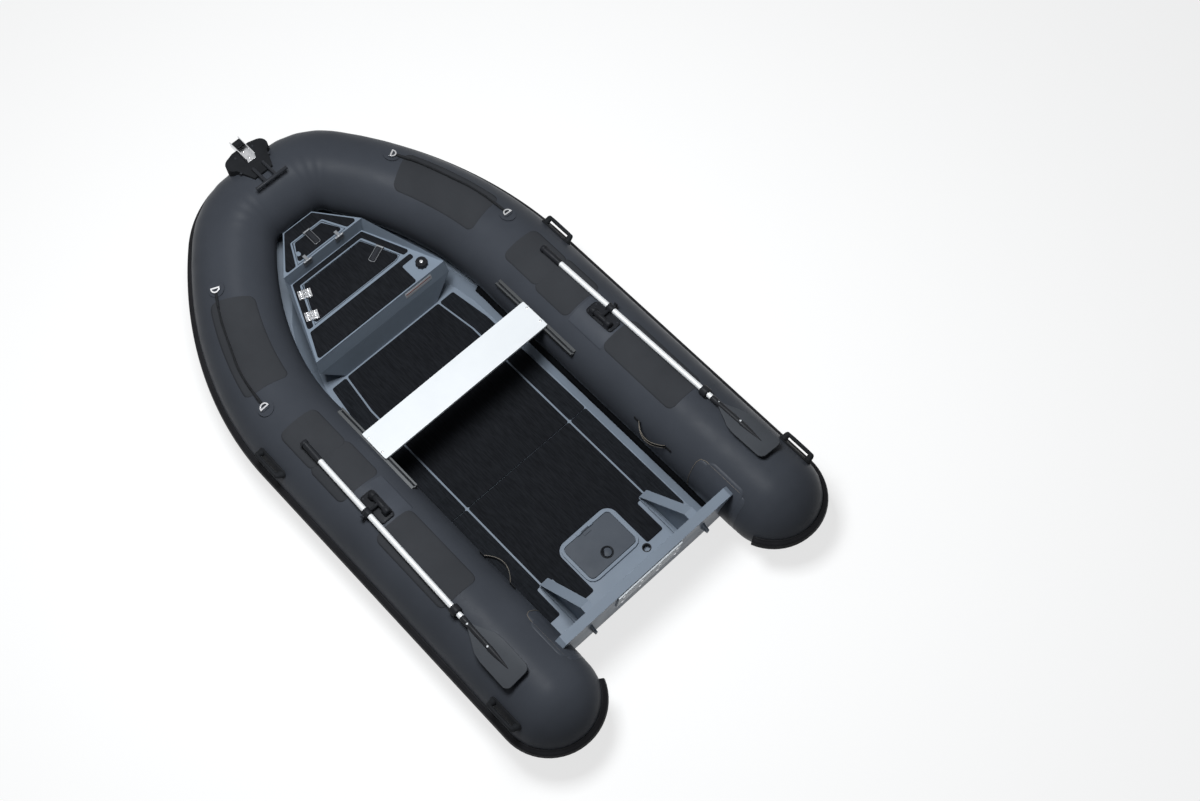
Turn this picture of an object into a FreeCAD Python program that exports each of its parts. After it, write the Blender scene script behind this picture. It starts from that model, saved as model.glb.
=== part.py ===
import FreeCAD, Part
import math
import os
import re
import Sketcher
from FreeCAD import Placement, Rotation, Vector

# Rigid inflatable tender with an aluminium hull, a bow locker and a pair of oars.
# The origin is on the centreline at the waterline, below the transom's top.
# +X points to the bow, +Y to port and +Z up; all lengths are in millimetres.

os.makedirs("parts", exist_ok=True)
doc = FreeCAD.newDocument("rib_tender")

# Driving dimensions
SIZES = [
    # buoyancy tube
    ("tube_radius", 212.0),
    ("bow_tube_radius", 177.0),
    ("tube_half_beam", 848.5),
    ("tube_axis_height", 200.0),
    ("cone_start", -93.0),
    ("bend_start", 1484.0),
    ("side_bend_share", 1.730112),
    ("side_bend_angle", 45.1),
    ("corner_bend_share", 0.532705),
    ("sheer_start", 1545.0),
    ("sheer_rise", 182.0),
    ("fit_gap", 0.3),
    ("overrun", 40.0),
    # rub strake
    ("strake_height", 68.0),
    ("strake_depth", 24.0),
    ("strake_lip", 7.0),
    ("strake_wrap_angle", 158.0),
    # hull
    ("keel_depth", 95.0),
    ("keel_rise_start", 1400.0),
    ("keel_sweep", 3.4),
    ("hull_sheet", 4.0),
    ("stem_station_from_bow", 223.67),
    ("stem_height", 198.0),
    ("chine_angle", -130.0),
    ("chine_turn", 30.0),
    ("side_angle", -146.0),
    ("side_slope", 48.0),
    ("floor_height", 20.0),
    ("locker_floor_end_from_bow", 525.67),
    # transom
    ("transom_rake", 9.0),
    ("transom_top", 362.0),
    ("transom_aft", -12.0),
    ("transom_thickness", 44.0),
    ("transom_half_width_overlap", 57.5),
    ("transom_chine_half_beam_overlap", 75.8),
    ("transom_chine_height", 37.5),
    ("transom_side_height", 88.0),
    ("transom_corner", 22.0),
    ("motor_pad_half_width", 178.0),
    ("motor_pad_height", 150.0),
    ("motor_pad_thickness", 9.0),
    ("motor_pad_drop", 6.0),
    ("knee_offset_share", 0.63133),
    ("knee_width", 46.0),
    ("knee_length", 256.0),
    ("knee_sheet", 6.0),
    ("knee_toe", 30.0),
    ("eye_offset_share", 0.74912),
    ("eye_reach", 36.0),
    ("eye_thickness", 8.0),
    ("eye_height", 76.0),
    ("eye_hole_radius", 7.0),
    ("eye_level", 244.0),
    # deck pads
    ("pad_thickness", 5.0),
    ("pad_joint_offset_share", 0.71378),
    ("pad_joint", 9.0),
    ("pad_seam", 2.0),
    ("pad_cross_joint", 828.0),
    ("pad_outer_share", 0.94229),
    ("pad_notch_station", 336.0),
    ("pad_notch_offset_share", 0.58893),
    ("pad_aft_end", 172.0),
    ("side_pad_aft_end", 194.0),
    ("pad_corner", 9.0),
    # hatch
    ("hatch_aft", 192.0),
    ("hatch_fore", 414.0),
    ("hatch_half_width", 148.0),
    ("hatch_frame_width", 14.0),
    ("hatch_frame_height", 9.0),
    ("hatch_lid_thickness", 9.0),
    ("hatch_corner", 42.0),
    ("hatch_well_depth", 52.0),
    ("hatch_gap", 2.5),
    ("hatch_ledge", 9.0),
    ("grip_radius", 24.0),
    ("grip_depth", 5.0),
    ("grip_setback", 66.0),
    ("hatch_knuckle_radius", 4.0),
    ("hatch_knuckle_half", 20.0),
    ("hatch_knuckle_length", 24.0),
    ("hatch_strap_thickness", 3.0),
    ("hatch_pin_radius", 1.8),
    ("drain_station", 158.0),
    ("drain_offset", 139.0),
    ("drain_radius", 16.0),
    ("drain_wall", 5.0),
    ("drain_depth", 30.0),
    # bow locker
    ("locker_aft_from_bow", 927.67),
    ("locker_rake", 26.0),
    ("locker_top", 250.0),
    ("locker_half_width_share", 0.87633),
    ("locker_shoulder_height", 168.0),
    ("locker_shoulder_half_width_share", 0.89517),
    ("locker_foot_half_width_share", 0.64075),
    ("locker_sheet", 4.0),
    ("step_station_from_bow", 539.67),
    ("step_half_width_share", 0.53239),
    ("fore_deck_top", 335.0),
    ("fore_deck_front_from_bow", 347.67),
    ("fore_deck_front_half_width_share", 0.18846),
    ("fore_block_bottom", 236.0),
    ("rim_foot_half_width_share", 0.48999),
    ("rim_aft_height", 6.0),
    ("foam_strip", 32.0),
    # locker lids
    ("lid_gap", 3.0),
    ("lid_fore_share", 0.90464),
    ("lid_fore_half_width_share", 0.40283),
    ("lid_aft_share", 0.38918),
    ("lid_port_half_width_share", 0.60306),
    ("lid_starboard_station_share", 0.42268),
    ("lid_starboard_half_width_share", 0.58893),
    ("lid_sheet", 4.0),
    ("fore_lid_aft_share", 0.04167),
    ("fore_lid_fore_share", 0.60417),
    ("fore_lid_aft_half_width_share", 0.32509),
    ("fore_lid_fore_half_width_share", 0.20259),
    ("hinge_leaf_length", 46.0),
    ("hinge_leaf_width", 30.0),
    ("hinge_leaf_thickness", 5.0),
    ("hinge_knuckle_radius", 5.5),
    ("hinge_pin_radius", 2.5),
    ("hinge_fore_station_share", 0.77835),
    ("hinge_fore_offset_share", 0.45230),
    ("hinge_aft_station_share", 0.50000),
    ("hinge_aft_offset_share", 0.56066),
    ("step_hinge_offset_share", 0.21437),
    ("step_hinge_length", 44.0),
    ("step_hinge_drop", 30.0),
    ("latch_length", 84.0),
    ("latch_width", 24.0),
    ("latch_height", 13.0),
    ("latch_body_length", 58.0),
    ("latch_body_width", 15.0),
    ("latch_button_radius", 5.0),
    ("cap_station_share", 0.14433),
    ("cap_offset_share", 0.68316),
    ("cap_radius", 26.0),
    ("cap_height", 26.0),
    # bow fitting
    ("bow_pad_top", 574.0),
    ("bow_pad_front_from_bow", 15.67),
    ("bow_pad_aft_from_bow", 189.67),
    ("bow_pad_half_width", 111.0),
    ("bow_lobe_radius", 40.0),
    ("bow_lobe_setback", 50.0),
    ("bow_pad_front_half_width", 45.0),
    ("bow_pad_aft_half_width", 50.0),
    ("bow_pad_thickness", 60.0),
    ("channel_half_width", 25.0),
    ("channel_sheet", 4.0),
    ("channel_aft_from_bow", 107.67),
    ("channel_front_from_bow", -16.33),
    ("channel_height", 34.0),
    ("roller_radius", 17.0),
    ("roller_pin_radius", 5.0),
    ("roller_setback", 24.0),
    ("cleat_bar_station_from_bow", 253.67),
    ("cleat_half_length", 84.0),
    ("cleat_leg_offset", 27.0),
    ("cleat_radius", 8.5),
    ("cleat_leg_radius", 7.5),
    ("cleat_height", 590.0),
    # tube fittings
    ("ring_fore_share", 0.52),
    ("ring_aft_share", 0.1),
    ("ring_angle", 74.0),
    ("ring_patch_radius", 38.0),
    ("ring_patch_thickness", 4.0),
    ("ring_radius", 19.0),
    ("ring_wire_radius", 3.5),
    ("handle_fore", 1452.0),
    ("handle_aft", -40.0),
    ("handle_angle", 32.0),
    ("handle_length", 178.0),
    ("handle_width", 40.0),
    ("handle_rise", 42.0),
    ("handle_grip_radius", 9.0),
    ("handle_base_thickness", 5.0),
    ("handle_foot_length", 32.0),
    ("handle_foot_width", 28.0),
    ("rope_diameter", 10.0),
    ("loop_fore", 516.0),
    ("loop_aft", 356.0),
    ("loop_height", 298.0),
    ("loop_reach", 38.0),
    ("loop_web_width", 25.0),
    ("loop_web_thickness", 2.5),
    ("loop_tab_length", 36.0),
    # seat
    ("seat_aft", 1117.0),
    ("seat_depth", 160.0),
    ("seat_half_length_overlap", 37.5),
    ("seat_thickness", 13.0),
    ("seat_top", 344.0),
    ("seat_corner", 6.0),
    ("track_aft", 942.0),
    ("track_fore", 1438.0),
    ("track_inner_overlap", 13.5),
    ("track_height", 24.0),
    ("track_slot_width", 8.0),
    ("track_slot_depth", 9.0),
    ("track_slot_offset_overlap", 26.5),
    ("slider_length", 60.0),
    ("slider_clearance", 1.0),
    # oars
    ("oar_yaw", 1.1),
    ("oar_pivot_station", 945.0),
    ("oar_pivot_offset_inset", 226.5),
    ("oar_pivot_height", 437.0),
    ("oar_offset_inset", 162.5),
    ("oar_height", 429.0),
    ("oar_radius", 12.5),
    ("oar_ferrule_station", 340.0),
    ("oar_grip_start", 1262.0),
    ("oar_tip", 1378.0),
    ("grip_oar_radius", 15.5),
    ("neck_length", 300.0),
    ("blade_root", 290.0),
    ("blade_end", -6.0),
    ("blade_width", 130.0),
    ("blade_thickness", 7.0),
    ("blade_roll", 15.0),
    ("blade_corner", 16.0),
    ("rowlock_length", 152.0),
    ("rowlock_width", 66.0),
    ("rowlock_plate", 7.0),
    ("rowlock_lug_spacing", 92.0),
    ("rowlock_lug_radius", 15.0),
    ("rowlock_lug_width", 20.0),
    ("trunnion_radius", 6.0),
    ("collar_length", 34.0),
    ("collar_wall", 5.0),
    ("running_clearance", 0.5),
    ("clip_station", 380.0),
    ("clip_length", 30.0),
    ("clip_wall", 4.0),
    ("clip_side_gap", 2.5),
]

# Sizes that follow the tube's front, its clear width or the locker's depth
DERIVED = [
    ("side_bend_radius", "tube_half_beam * side_bend_share"),
    ("corner_bend_radius", "tube_half_beam * corner_bend_share"),
    ("bow_front", "bend_start + (side_bend_radius - corner_bend_radius) * sin(side_bend_angle) + corner_bend_radius"),
    ("inner_half", "tube_half_beam - 2 * tube_radius"),
    ("stem_station", "bow_front - stem_station_from_bow"),
    ("locker_floor_end", "bow_front - locker_floor_end_from_bow"),
    ("locker_aft", "bow_front - locker_aft_from_bow"),
    ("step_station", "bow_front - step_station_from_bow"),
    ("fore_deck_front", "bow_front - fore_deck_front_from_bow"),
    ("bow_pad_front", "bow_front - bow_pad_front_from_bow"),
    ("bow_pad_aft", "bow_front - bow_pad_aft_from_bow"),
    ("channel_aft", "bow_front - channel_aft_from_bow"),
    ("channel_front", "bow_front - channel_front_from_bow"),
    ("cleat_bar_station", "bow_front - cleat_bar_station_from_bow"),
    ("lid_fore", "locker_aft + (step_station - locker_aft) * lid_fore_share"),
    ("lid_aft", "locker_aft + (step_station - locker_aft) * lid_aft_share"),
    ("lid_starboard_station", "locker_aft + (step_station - locker_aft) * lid_starboard_station_share"),
    ("hinge_fore_station", "locker_aft + (step_station - locker_aft) * hinge_fore_station_share"),
    ("hinge_aft_station", "locker_aft + (step_station - locker_aft) * hinge_aft_station_share"),
    ("cap_station", "locker_aft + (step_station - locker_aft) * cap_station_share"),
    ("fore_lid_aft", "step_station + (fore_deck_front - step_station) * fore_lid_aft_share"),
    ("fore_lid_fore", "step_station + (fore_deck_front - step_station) * fore_lid_fore_share"),
    ("locker_half_width", "inner_half * locker_half_width_share"),
    ("locker_shoulder_half_width", "inner_half * locker_shoulder_half_width_share"),
    ("locker_foot_half_width", "inner_half * locker_foot_half_width_share"),
    ("step_half_width", "inner_half * step_half_width_share"),
    ("fore_deck_front_half_width", "inner_half * fore_deck_front_half_width_share"),
    ("rim_foot_half_width", "inner_half * rim_foot_half_width_share"),
    ("lid_fore_half_width", "inner_half * lid_fore_half_width_share"),
    ("lid_port_half_width", "inner_half * lid_port_half_width_share"),
    ("lid_starboard_half_width", "inner_half * lid_starboard_half_width_share"),
    ("fore_lid_aft_half_width", "inner_half * fore_lid_aft_half_width_share"),
    ("fore_lid_fore_half_width", "inner_half * fore_lid_fore_half_width_share"),
    ("hinge_fore_offset", "inner_half * hinge_fore_offset_share"),
    ("hinge_aft_offset", "inner_half * hinge_aft_offset_share"),
    ("step_hinge_offset", "inner_half * step_hinge_offset_share"),
    ("cap_offset", "inner_half * cap_offset_share"),
    ("knee_offset", "inner_half * knee_offset_share"),
    ("eye_offset", "inner_half * eye_offset_share"),
    ("pad_joint_offset", "inner_half * pad_joint_offset_share"),
    ("pad_notch_offset", "inner_half * pad_notch_offset_share"),
    ("pad_outer", "inner_half * pad_outer_share"),
    ("transom_half_width", "inner_half + transom_half_width_overlap"),
    ("transom_chine_half_beam", "inner_half + transom_chine_half_beam_overlap"),
    ("seat_half_length", "inner_half + seat_half_length_overlap"),
    ("track_inner", "inner_half + track_inner_overlap"),
    ("track_slot_offset", "inner_half + track_slot_offset_overlap"),
    ("oar_pivot_offset", "tube_half_beam - oar_pivot_offset_inset"),
    ("oar_offset", "tube_half_beam - oar_offset_inset"),
]

sheet = doc.addObject("Spreadsheet::Sheet", "Sizes")
for row, (alias, value) in enumerate(SIZES + DERIVED, start=1):
    sheet.set("A%d" % row, alias.replace("_", " "))
    sheet.set("B%d" % row, "=" + value if isinstance(value, str) else "%g" % value)
    sheet.setAlias("B%d" % row, alias)
doc.recompute()


class Dimensions:
    """The sheet's values, read back by alias."""

    def __init__(self):
        for alias, _ in SIZES + DERIVED:
            setattr(self, alias, float(sheet.get(alias)))


dim = Dimensions()
ALIASES = {alias for alias, _ in SIZES + DERIVED}
NODES = []
PORT, STARBOARD = 1, -1
SIDES = (("port", PORT), ("starboard", STARBOARD))


# Helpers for bound features
def bound(text):
    """Turn plain size names into references to the sheet."""
    return re.sub(r"[a-z_]+", lambda m: "Sizes." + m[0] if m[0] in ALIASES else m[0], text)


def register(item, label, placement=None):
    """Give a finished sub-part its label and place, and list it as a node."""
    item.Label = label
    if placement is not None:
        item.Placement = placement
    NODES.append(item)
    return item


def feature(label, shape, placement=None):
    """Store a shape made with Part's functions as a sub-part."""
    item = doc.addObject("Part::Feature", label)
    item.Shape = shape
    if placement is not None:
        placement = placement.multiply(shape.Placement)
    return register(item, label, placement)


def new_body(name):
    body = doc.addObject("PartDesign::Body", name)
    body.AllowCompound = True
    return body


def sketch(body, name, role, offset="0"):
    """A sketch on one of the body's own origin planes, moved along its normal."""
    item = body.newObject("Sketcher::SketchObject", name)
    plane = next(f for f in body.Origin.OriginFeatures if f.Role == role)
    item.AttachmentSupport = (plane, [""])
    item.MapMode = "FlatFace"
    item.setExpression(".AttachmentOffset.Base.z", bound(offset))
    return item


def outline(item, corners):
    """Draw a closed polygon whose corners are bound to the sheet."""
    count = len(corners)
    guess = [Vector(math.cos(2 * math.pi * k / count), math.sin(2 * math.pi * k / count), 0)
             * dim.tube_radius for k in range(count)]
    first = item.GeometryCount
    for k in range(count):
        item.addGeometry(Part.LineSegment(guess[k], guess[(k + 1) % count]), False)
    for k in range(count):
        item.addConstraint(Sketcher.Constraint("Coincident", first + k, 2, first + (k + 1) % count, 1))
    for k, (across, up) in enumerate(corners):
        for kind, text in (("DistanceX", across), ("DistanceY", up)):
            index = item.addConstraint(Sketcher.Constraint(kind, -1, 1, first + k, 1, dim.overrun))
            item.setExpression("Constraints[%d]" % index, bound(text))


def ring(item, across, up, radius):
    """Draw a circle whose centre and radius are bound to the sheet."""
    index = item.addGeometry(Part.Circle(Vector(dim.overrun, dim.overrun, 0), Vector(0, 0, 1),
                                         dim.cap_radius), False)
    for kind, text in (("DistanceX", across), ("DistanceY", up)):
        made = item.addConstraint(Sketcher.Constraint(kind, -1, 1, index, 3, dim.overrun))
        item.setExpression("Constraints[%d]" % made, bound(text))
    made = item.addConstraint(Sketcher.Constraint("Radius", index, dim.cap_radius))
    item.setExpression("Constraints[%d]" % made, bound(radius))


def pad(body, item, length, name, reverse=False):
    made = body.newObject("PartDesign::Pad", name)
    made.Profile = item
    made.Reversed = reverse
    made.setExpression("Length", bound(length))
    body.Tip = made
    return made


def pocket(body, item, length, name, reverse=False):
    made = body.newObject("PartDesign::Pocket", name)
    made.Profile = item
    made.Reversed = reverse
    made.setExpression("Length", bound(length))
    body.Tip = made
    return made


def mirrored(body, originals, name):
    """Repeat features on the other side of the centreline."""
    made = body.newObject("PartDesign::Mirrored", name)
    plane = next(f for f in body.Origin.OriginFeatures if f.Role == "XZ_Plane")
    made.Originals = originals
    made.MirrorPlane = (plane, [""])
    body.Tip = made
    return made


def flat_plate(label, loops, bottom, thickness, both_sides=False):
    """A flat plate from plan outlines, each a separate piece, on a horizontal plane."""
    body = new_body(label)
    made = []
    for k, corners in enumerate(loops):
        item = sketch(body, "%s_outline_%d" % (label, k), "XY_Plane", bottom)
        outline(item, corners)
        made.append(pad(body, item, thickness, "%s_pad_%d" % (label, k)))
    if both_sides:
        mirrored(body, made, label + "_mirrored")
    return register(body, label)


def both(shape):
    """A shape and its mirror image across the centreline."""
    other = shape.mirror(Vector(0, 0, 0), Vector(0, 1, 0))
    return Part.makeCompound([shape, other])


def cylinder_between(start, end, radius):
    return Part.makeCylinder(radius, (end - start).Length, start, end - start)


# Run of the tube: a straight side, a long side bend, a tight corner and a flat bow
class Station:
    """One place along the tube's outer edge, given by its length from the cone."""

    def __init__(self, along, side=PORT):
        self.side = side
        straight, bend, corner, flat = run_lengths()
        turn = math.radians(dim.side_bend_angle)
        hub = dim.side_bend_radius - dim.corner_bend_radius
        corner_x = dim.bend_start + hub * math.sin(turn)
        corner_y = dim.tube_half_beam - dim.side_bend_radius + hub * math.cos(turn)
        if along <= straight:
            self.heading = 0
            edge = Vector(dim.cone_start + along, dim.tube_half_beam, 0)
        elif along <= straight + bend:
            self.heading = (along - straight) / dim.side_bend_radius
            centre = Vector(dim.bend_start, dim.tube_half_beam - dim.side_bend_radius, 0)
            edge = centre + self.port_outward() * dim.side_bend_radius
        elif along <= straight + bend + corner:
            self.heading = turn + (along - straight - bend) / dim.corner_bend_radius
            edge = Vector(corner_x, corner_y, 0) + self.port_outward() * dim.corner_bend_radius
        else:
            self.heading = math.pi / 2
            left = corner_y - (along - straight - bend - corner)
            edge = Vector(corner_x + dim.corner_bend_radius, left, 0)
        self.share = max(0, (along - straight) / (bend + corner + flat))
        self.radius = dim.tube_radius + (dim.bow_tube_radius - dim.tube_radius) * self.share
        self.centre = edge - self.port_outward() * self.radius
        bow = corner_x + dim.corner_bend_radius - dim.bow_tube_radius
        rise = max(0, (self.centre.x - dim.sheer_start) / (bow - dim.sheer_start))
        self.centre.z = dim.tube_axis_height + dim.sheer_rise * rise ** 2
        self.centre.y *= side

    def port_outward(self):
        return Vector(math.sin(self.heading), math.cos(self.heading), 0)

    def outward(self):
        return Vector(math.sin(self.heading), self.side * math.cos(self.heading), 0)

    def forward(self):
        return Vector(math.cos(self.heading), -self.side * math.sin(self.heading), 0)

    def skin(self, angle, gap=0):
        """A point on the skin, by its angle above the outward side in degrees."""
        turn = math.radians(angle)
        reach = self.radius + gap
        return self.centre + self.outward() * reach * math.cos(turn) + Vector(0, 0, reach * math.sin(turn))


def run_lengths():
    """Lengths of the straight side, the side bend, the corner and the bow's half flat."""
    turn = math.radians(dim.side_bend_angle)
    flat = (dim.tube_half_beam - dim.side_bend_radius
            + (dim.side_bend_radius - dim.corner_bend_radius) * math.cos(turn))
    return (dim.bend_start - dim.cone_start, dim.side_bend_radius * turn,
            dim.corner_bend_radius * (math.pi / 2 - turn), flat)


def bend_stations():
    """Stations of the tube's gores round the bow, from one side bend's start to the other's."""
    straight, side, corner, flat = run_lengths()
    side_steps, corner_steps = 7, 6
    places = [straight + side * k / side_steps for k in range(side_steps)]
    places += [straight + side + corner * k / corner_steps for k in range(corner_steps + 1)]
    port = [Station(along) for along in places]
    return port + [Station(along, STARBOARD) for along in reversed(places)]


def section_circle(station, gap):
    """The tube's round section, with its seam at the bottom."""
    circle = Part.Circle(station.centre, station.forward(), station.radius + gap)
    circle.XAxis = Vector(0, 0, -1)
    return Part.Wire([circle.toShape()])


def cone_ball(station, gap, side):
    """The round end of one tube side."""
    radius = station.radius + gap
    centre = Vector(station.centre.x, station.centre.y * side, station.centre.z)
    arc = Part.Arc(Vector(-radius, 0, 0), Vector(-radius * math.sqrt(0.5), 0, radius * math.sqrt(0.5)),
                   Vector(0, 0, radius)).toShape()
    edges = [arc, Part.LineSegment(Vector(0, 0, radius), Vector(0, 0, 0)).toShape(),
             Part.LineSegment(Vector(0, 0, 0), Vector(-radius, 0, 0)).toShape()]
    ball = Part.Face(Part.Wire(edges)).revolve(Vector(0, 0, 0), Vector(1, 0, 0), 360)
    ball.translate(centre)
    return ball


def tube_solid(gap=0, balls=True):
    stations = bend_stations()
    bend = Part.makeLoft([section_circle(s, gap) for s in stations], True, True)
    first = Station(0)
    length = stations[0].centre.x - first.centre.x
    pieces = []
    for _, side in SIDES:
        centre = Vector(first.centre.x, side * first.centre.y, first.centre.z)
        pieces.append(Part.makeCylinder(first.radius + gap, length, centre, Vector(1, 0, 0)))
        if balls:
            pieces.append(cone_ball(first, gap, side))
    return bend.fuse(pieces)


def strake_section(station):
    """The strake's D section: its back on the tube, two lips and its round front."""
    half = dim.strake_height / 2
    back = station.radius + dim.fit_gap
    foot = math.sqrt(back ** 2 - half ** 2)

    def at(reach, up):
        return station.centre + station.outward() * reach + Vector(0, 0, up)

    low_back, low_lip = at(foot, -half), at(foot + dim.strake_lip, -half)
    top_back, top_lip = at(foot, half), at(foot + dim.strake_lip, half)
    return Part.Wire([Part.Arc(low_back, at(back, 0), top_back).toShape(),
                      Part.LineSegment(top_back, top_lip).toShape(),
                      Part.Arc(top_lip, at(back + dim.strake_depth, 0), low_lip).toShape(),
                      Part.LineSegment(low_lip, low_back).toShape()])


def strake_solid():
    stations = bend_stations()
    bend = Part.makeLoft([strake_section(s) for s in stations], True, True)
    first = Station(0)
    face = Part.Face(strake_section(first))
    side = face.extrude(Vector(stations[0].centre.x - first.centre.x, 0, 0))
    wrap = face.revolve(first.centre, Vector(0, 0, 1), dim.strake_wrap_angle)
    pieces = [side, wrap]
    pieces += [piece.mirror(Vector(0, 0, 0), Vector(0, 1, 0)) for piece in pieces]
    return bend.fuse(pieces)


feature("buoyancy_tube", tube_solid())
feature("rub_strake", strake_solid())

# Hull: a shallow V with its flange on the tube's lower inner side
transom_tilt = Rotation(Vector(0, 1, 0), dim.transom_rake)


def transom_x(height, forward=0):
    """Station on the raked transom's aft face at a height, moved forward square to it."""
    rake = math.radians(dim.transom_rake)
    return dim.transom_aft + (dim.transom_top - height) * math.tan(rake) + forward / math.cos(rake)


def section_wire(x, corners):
    """A closed section across the hull from its port corners, mirrored."""
    port = [Vector(x, y, z) for y, z in corners]
    mirror = [Vector(x, -y, z) for y, z in reversed(corners) if y > 0]
    return Part.makePolygon(port + mirror + [port[0]])


def rail(x, angle, turn=0):
    """Where a line along the skin, at an angle that turns towards the bow, crosses a station."""
    low, high = 0, sum(run_lengths())
    for _ in range(60):
        middle = (low + high) / 2
        station = Station(middle)
        point = station.skin(angle + turn * station.share)
        if point.x < x:
            low = middle
        else:
            high = middle
    return point, station


def keel_height(x):
    rise = max(0, (x - dim.keel_rise_start) / (dim.stem_station - dim.keel_rise_start))
    return (dim.stem_height + dim.keel_depth) * rise ** dim.keel_sweep - dim.keel_depth


def hull_section(x):
    chine, station = rail(x, dim.chine_angle, dim.chine_turn)
    inside = chine + (station.centre - chine).normalize() * dim.overrun
    return section_wire(x, [(0, keel_height(x)), (chine.y, chine.z), (inside.y, inside.z)])


def cockpit_section(x):
    edge, _ = rail(x, dim.side_angle)
    slope = math.tan(math.radians(90 - dim.side_slope))
    lip = edge.z + 3 * dim.overrun
    chine, _ = rail(x, dim.chine_angle, dim.chine_turn)
    keel = keel_height(x)
    skin = chine.y * (dim.floor_height - keel) / (chine.z - keel) - dim.hull_sheet
    foot = min(edge.y - slope * (edge.z - dim.floor_height), skin)
    return section_wire(x, [(foot, dim.floor_height),
                            (edge.y + slope * (lip - edge.z), lip)])


def spread(first, last, steps):
    return [first + (last - first) * k / steps for k in range(steps + 1)]


hull_stations = [transom_x(0), dim.keel_rise_start] + spread(dim.bend_start, dim.stem_station, 9)
outer = Part.makeLoft([hull_section(x) for x in hull_stations], True, True)
cockpit_stations = [dim.transom_aft, dim.bend_start] + spread(dim.bend_start, dim.locker_floor_end, 6)[1:]
cockpit = Part.makeLoft([cockpit_section(x) for x in cockpit_stations], True, True)
well_inset = dim.hatch_frame_width + dim.hatch_ledge
well = Part.makeBox(dim.hatch_fore - dim.hatch_aft - 2 * well_inset, 2 * (dim.hatch_half_width - well_inset),
                    dim.hatch_well_depth + dim.overrun,
                    Vector(dim.hatch_aft + well_inset, well_inset - dim.hatch_half_width,
                           dim.floor_height - dim.hatch_well_depth))
drain_hole = Part.makeCylinder(dim.drain_radius + dim.drain_wall, dim.drain_depth + dim.overrun,
                               Vector(dim.drain_station, -dim.drain_offset,
                                      dim.floor_height - dim.drain_depth))
slab = Part.makeBox(4 * dim.stem_station, 4 * dim.tube_half_beam, 4 * dim.tube_half_beam,
                    Vector(-4 * dim.stem_station, -2 * dim.tube_half_beam, -2 * dim.tube_half_beam))
slab.rotate(Vector(0, 0, 0), Vector(0, 1, 0), -dim.transom_rake)
slab.translate(Vector(transom_x(0, dim.transom_thickness + dim.fit_gap), 0, 0))
tube_room = tube_solid(dim.fit_gap, balls=False)
shell = outer.cut([cockpit, well, drain_hole, slab, tube_room])
over_floor = Part.makeBox(4 * dim.stem_station, 4 * dim.tube_half_beam, 4 * dim.tube_half_beam,
                          Vector(-dim.stem_station, -2 * dim.tube_half_beam, dim.floor_height))
over_well = over_floor.translated(Vector(0, 0, -dim.hatch_well_depth))
feature("hull_bottom", shell.cut(over_well))
feature("hull_floor", shell.cut(over_floor).common(over_well))
upper_hull = shell.common(over_floor)
feature("hull_sides", upper_hull)

# Transom: a boxed plate, raked aft, between the tubes
transom_plate = new_body("transom_plate")
item = sketch(transom_plate, "transom_outline", "YZ_Plane")
outline(item, [("0", "-(transom_top + keel_depth) / cos(transom_rake)"),
               ("transom_chine_half_beam", "-(transom_top - transom_chine_height) / cos(transom_rake)"),
               ("transom_half_width", "-(transom_top - transom_side_height) / cos(transom_rake)"),
               ("transom_half_width", "-transom_corner"),
               ("transom_half_width - transom_corner", "0"),
               ("transom_corner - transom_half_width", "0"),
               ("-transom_half_width", "-transom_corner"),
               ("-transom_half_width", "-(transom_top - transom_side_height) / cos(transom_rake)"),
               ("-transom_chine_half_beam", "-(transom_top - transom_chine_height) / cos(transom_rake)")])
pad(transom_plate, item, "transom_thickness", "transom_pad")
transom_place = Placement(Vector(dim.transom_aft, 0, dim.transom_top),
                          Rotation(Vector(0, 1, 0), -dim.transom_rake))
transom_plate.Placement = transom_place
room = doc.addObject("Part::Feature", "transom_tube_room")
room.Shape = Part.makeCompound([Part.makeCylinder(
    dim.tube_radius + dim.fit_gap, 2 * dim.bend_start,
    Vector(-dim.bend_start, side * (dim.tube_half_beam - dim.tube_radius), dim.tube_axis_height),
    Vector(1, 0, 0)) for _, side in SIDES])
transom = doc.addObject("Part::Cut", "transom")
transom.Base = transom_plate
transom.Tool = room
register(transom, "transom")

# Knees: boxed triangular stays between the transom and the floor
knees = new_body("transom_knees")
knee_low = "-(transom_top - floor_height) / cos(transom_rake)"
item = sketch(knees, "knee_outline", "XZ_Plane", "-(knee_offset + (knee_width + knee_sheet) / 2)")
outline(item, [("transom_thickness + fit_gap", "-transom_corner"),
               ("transom_thickness + fit_gap + knee_toe", "-transom_corner"),
               ("transom_thickness + knee_length", knee_low + " + knee_toe - knee_length * sin(transom_rake)"),
               ("transom_thickness + knee_length", knee_low + " + fit_gap - knee_length * sin(transom_rake)"),
               ("transom_thickness + fit_gap", knee_low + " + fit_gap")])
knee_parts = [pad(knees, item, "knee_sheet", "knee_web")]
slope_low = knee_low + " + knee_toe - knee_length * sin(transom_rake)"
foot_low = knee_low + " + fit_gap - knee_length * sin(transom_rake)"
item = sketch(knees, "knee_flange_outline", "XZ_Plane", "-(knee_offset + knee_width)")
outline(item, [("transom_thickness + fit_gap", "-transom_corner"),
               ("transom_thickness + fit_gap + knee_toe", "-transom_corner"),
               ("transom_thickness + knee_length", slope_low),
               ("transom_thickness + knee_length", slope_low + " - 2 * knee_sheet"),
               ("transom_thickness + fit_gap + knee_toe", "-transom_corner - 2 * knee_sheet"),
               ("transom_thickness + fit_gap", "-transom_corner - 2 * knee_sheet")])
knee_parts.append(pad(knees, item, "knee_width", "knee_flange"))
item = sketch(knees, "knee_foot_outline", "XZ_Plane", "-(knee_offset + knee_width)")
outline(item, [("transom_thickness + fit_gap", knee_low + " + fit_gap"),
               ("transom_thickness + knee_length", foot_low),
               ("transom_thickness + knee_length", foot_low + " + knee_sheet"),
               ("transom_thickness + fit_gap", knee_low + " + fit_gap + knee_sheet")])
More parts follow.
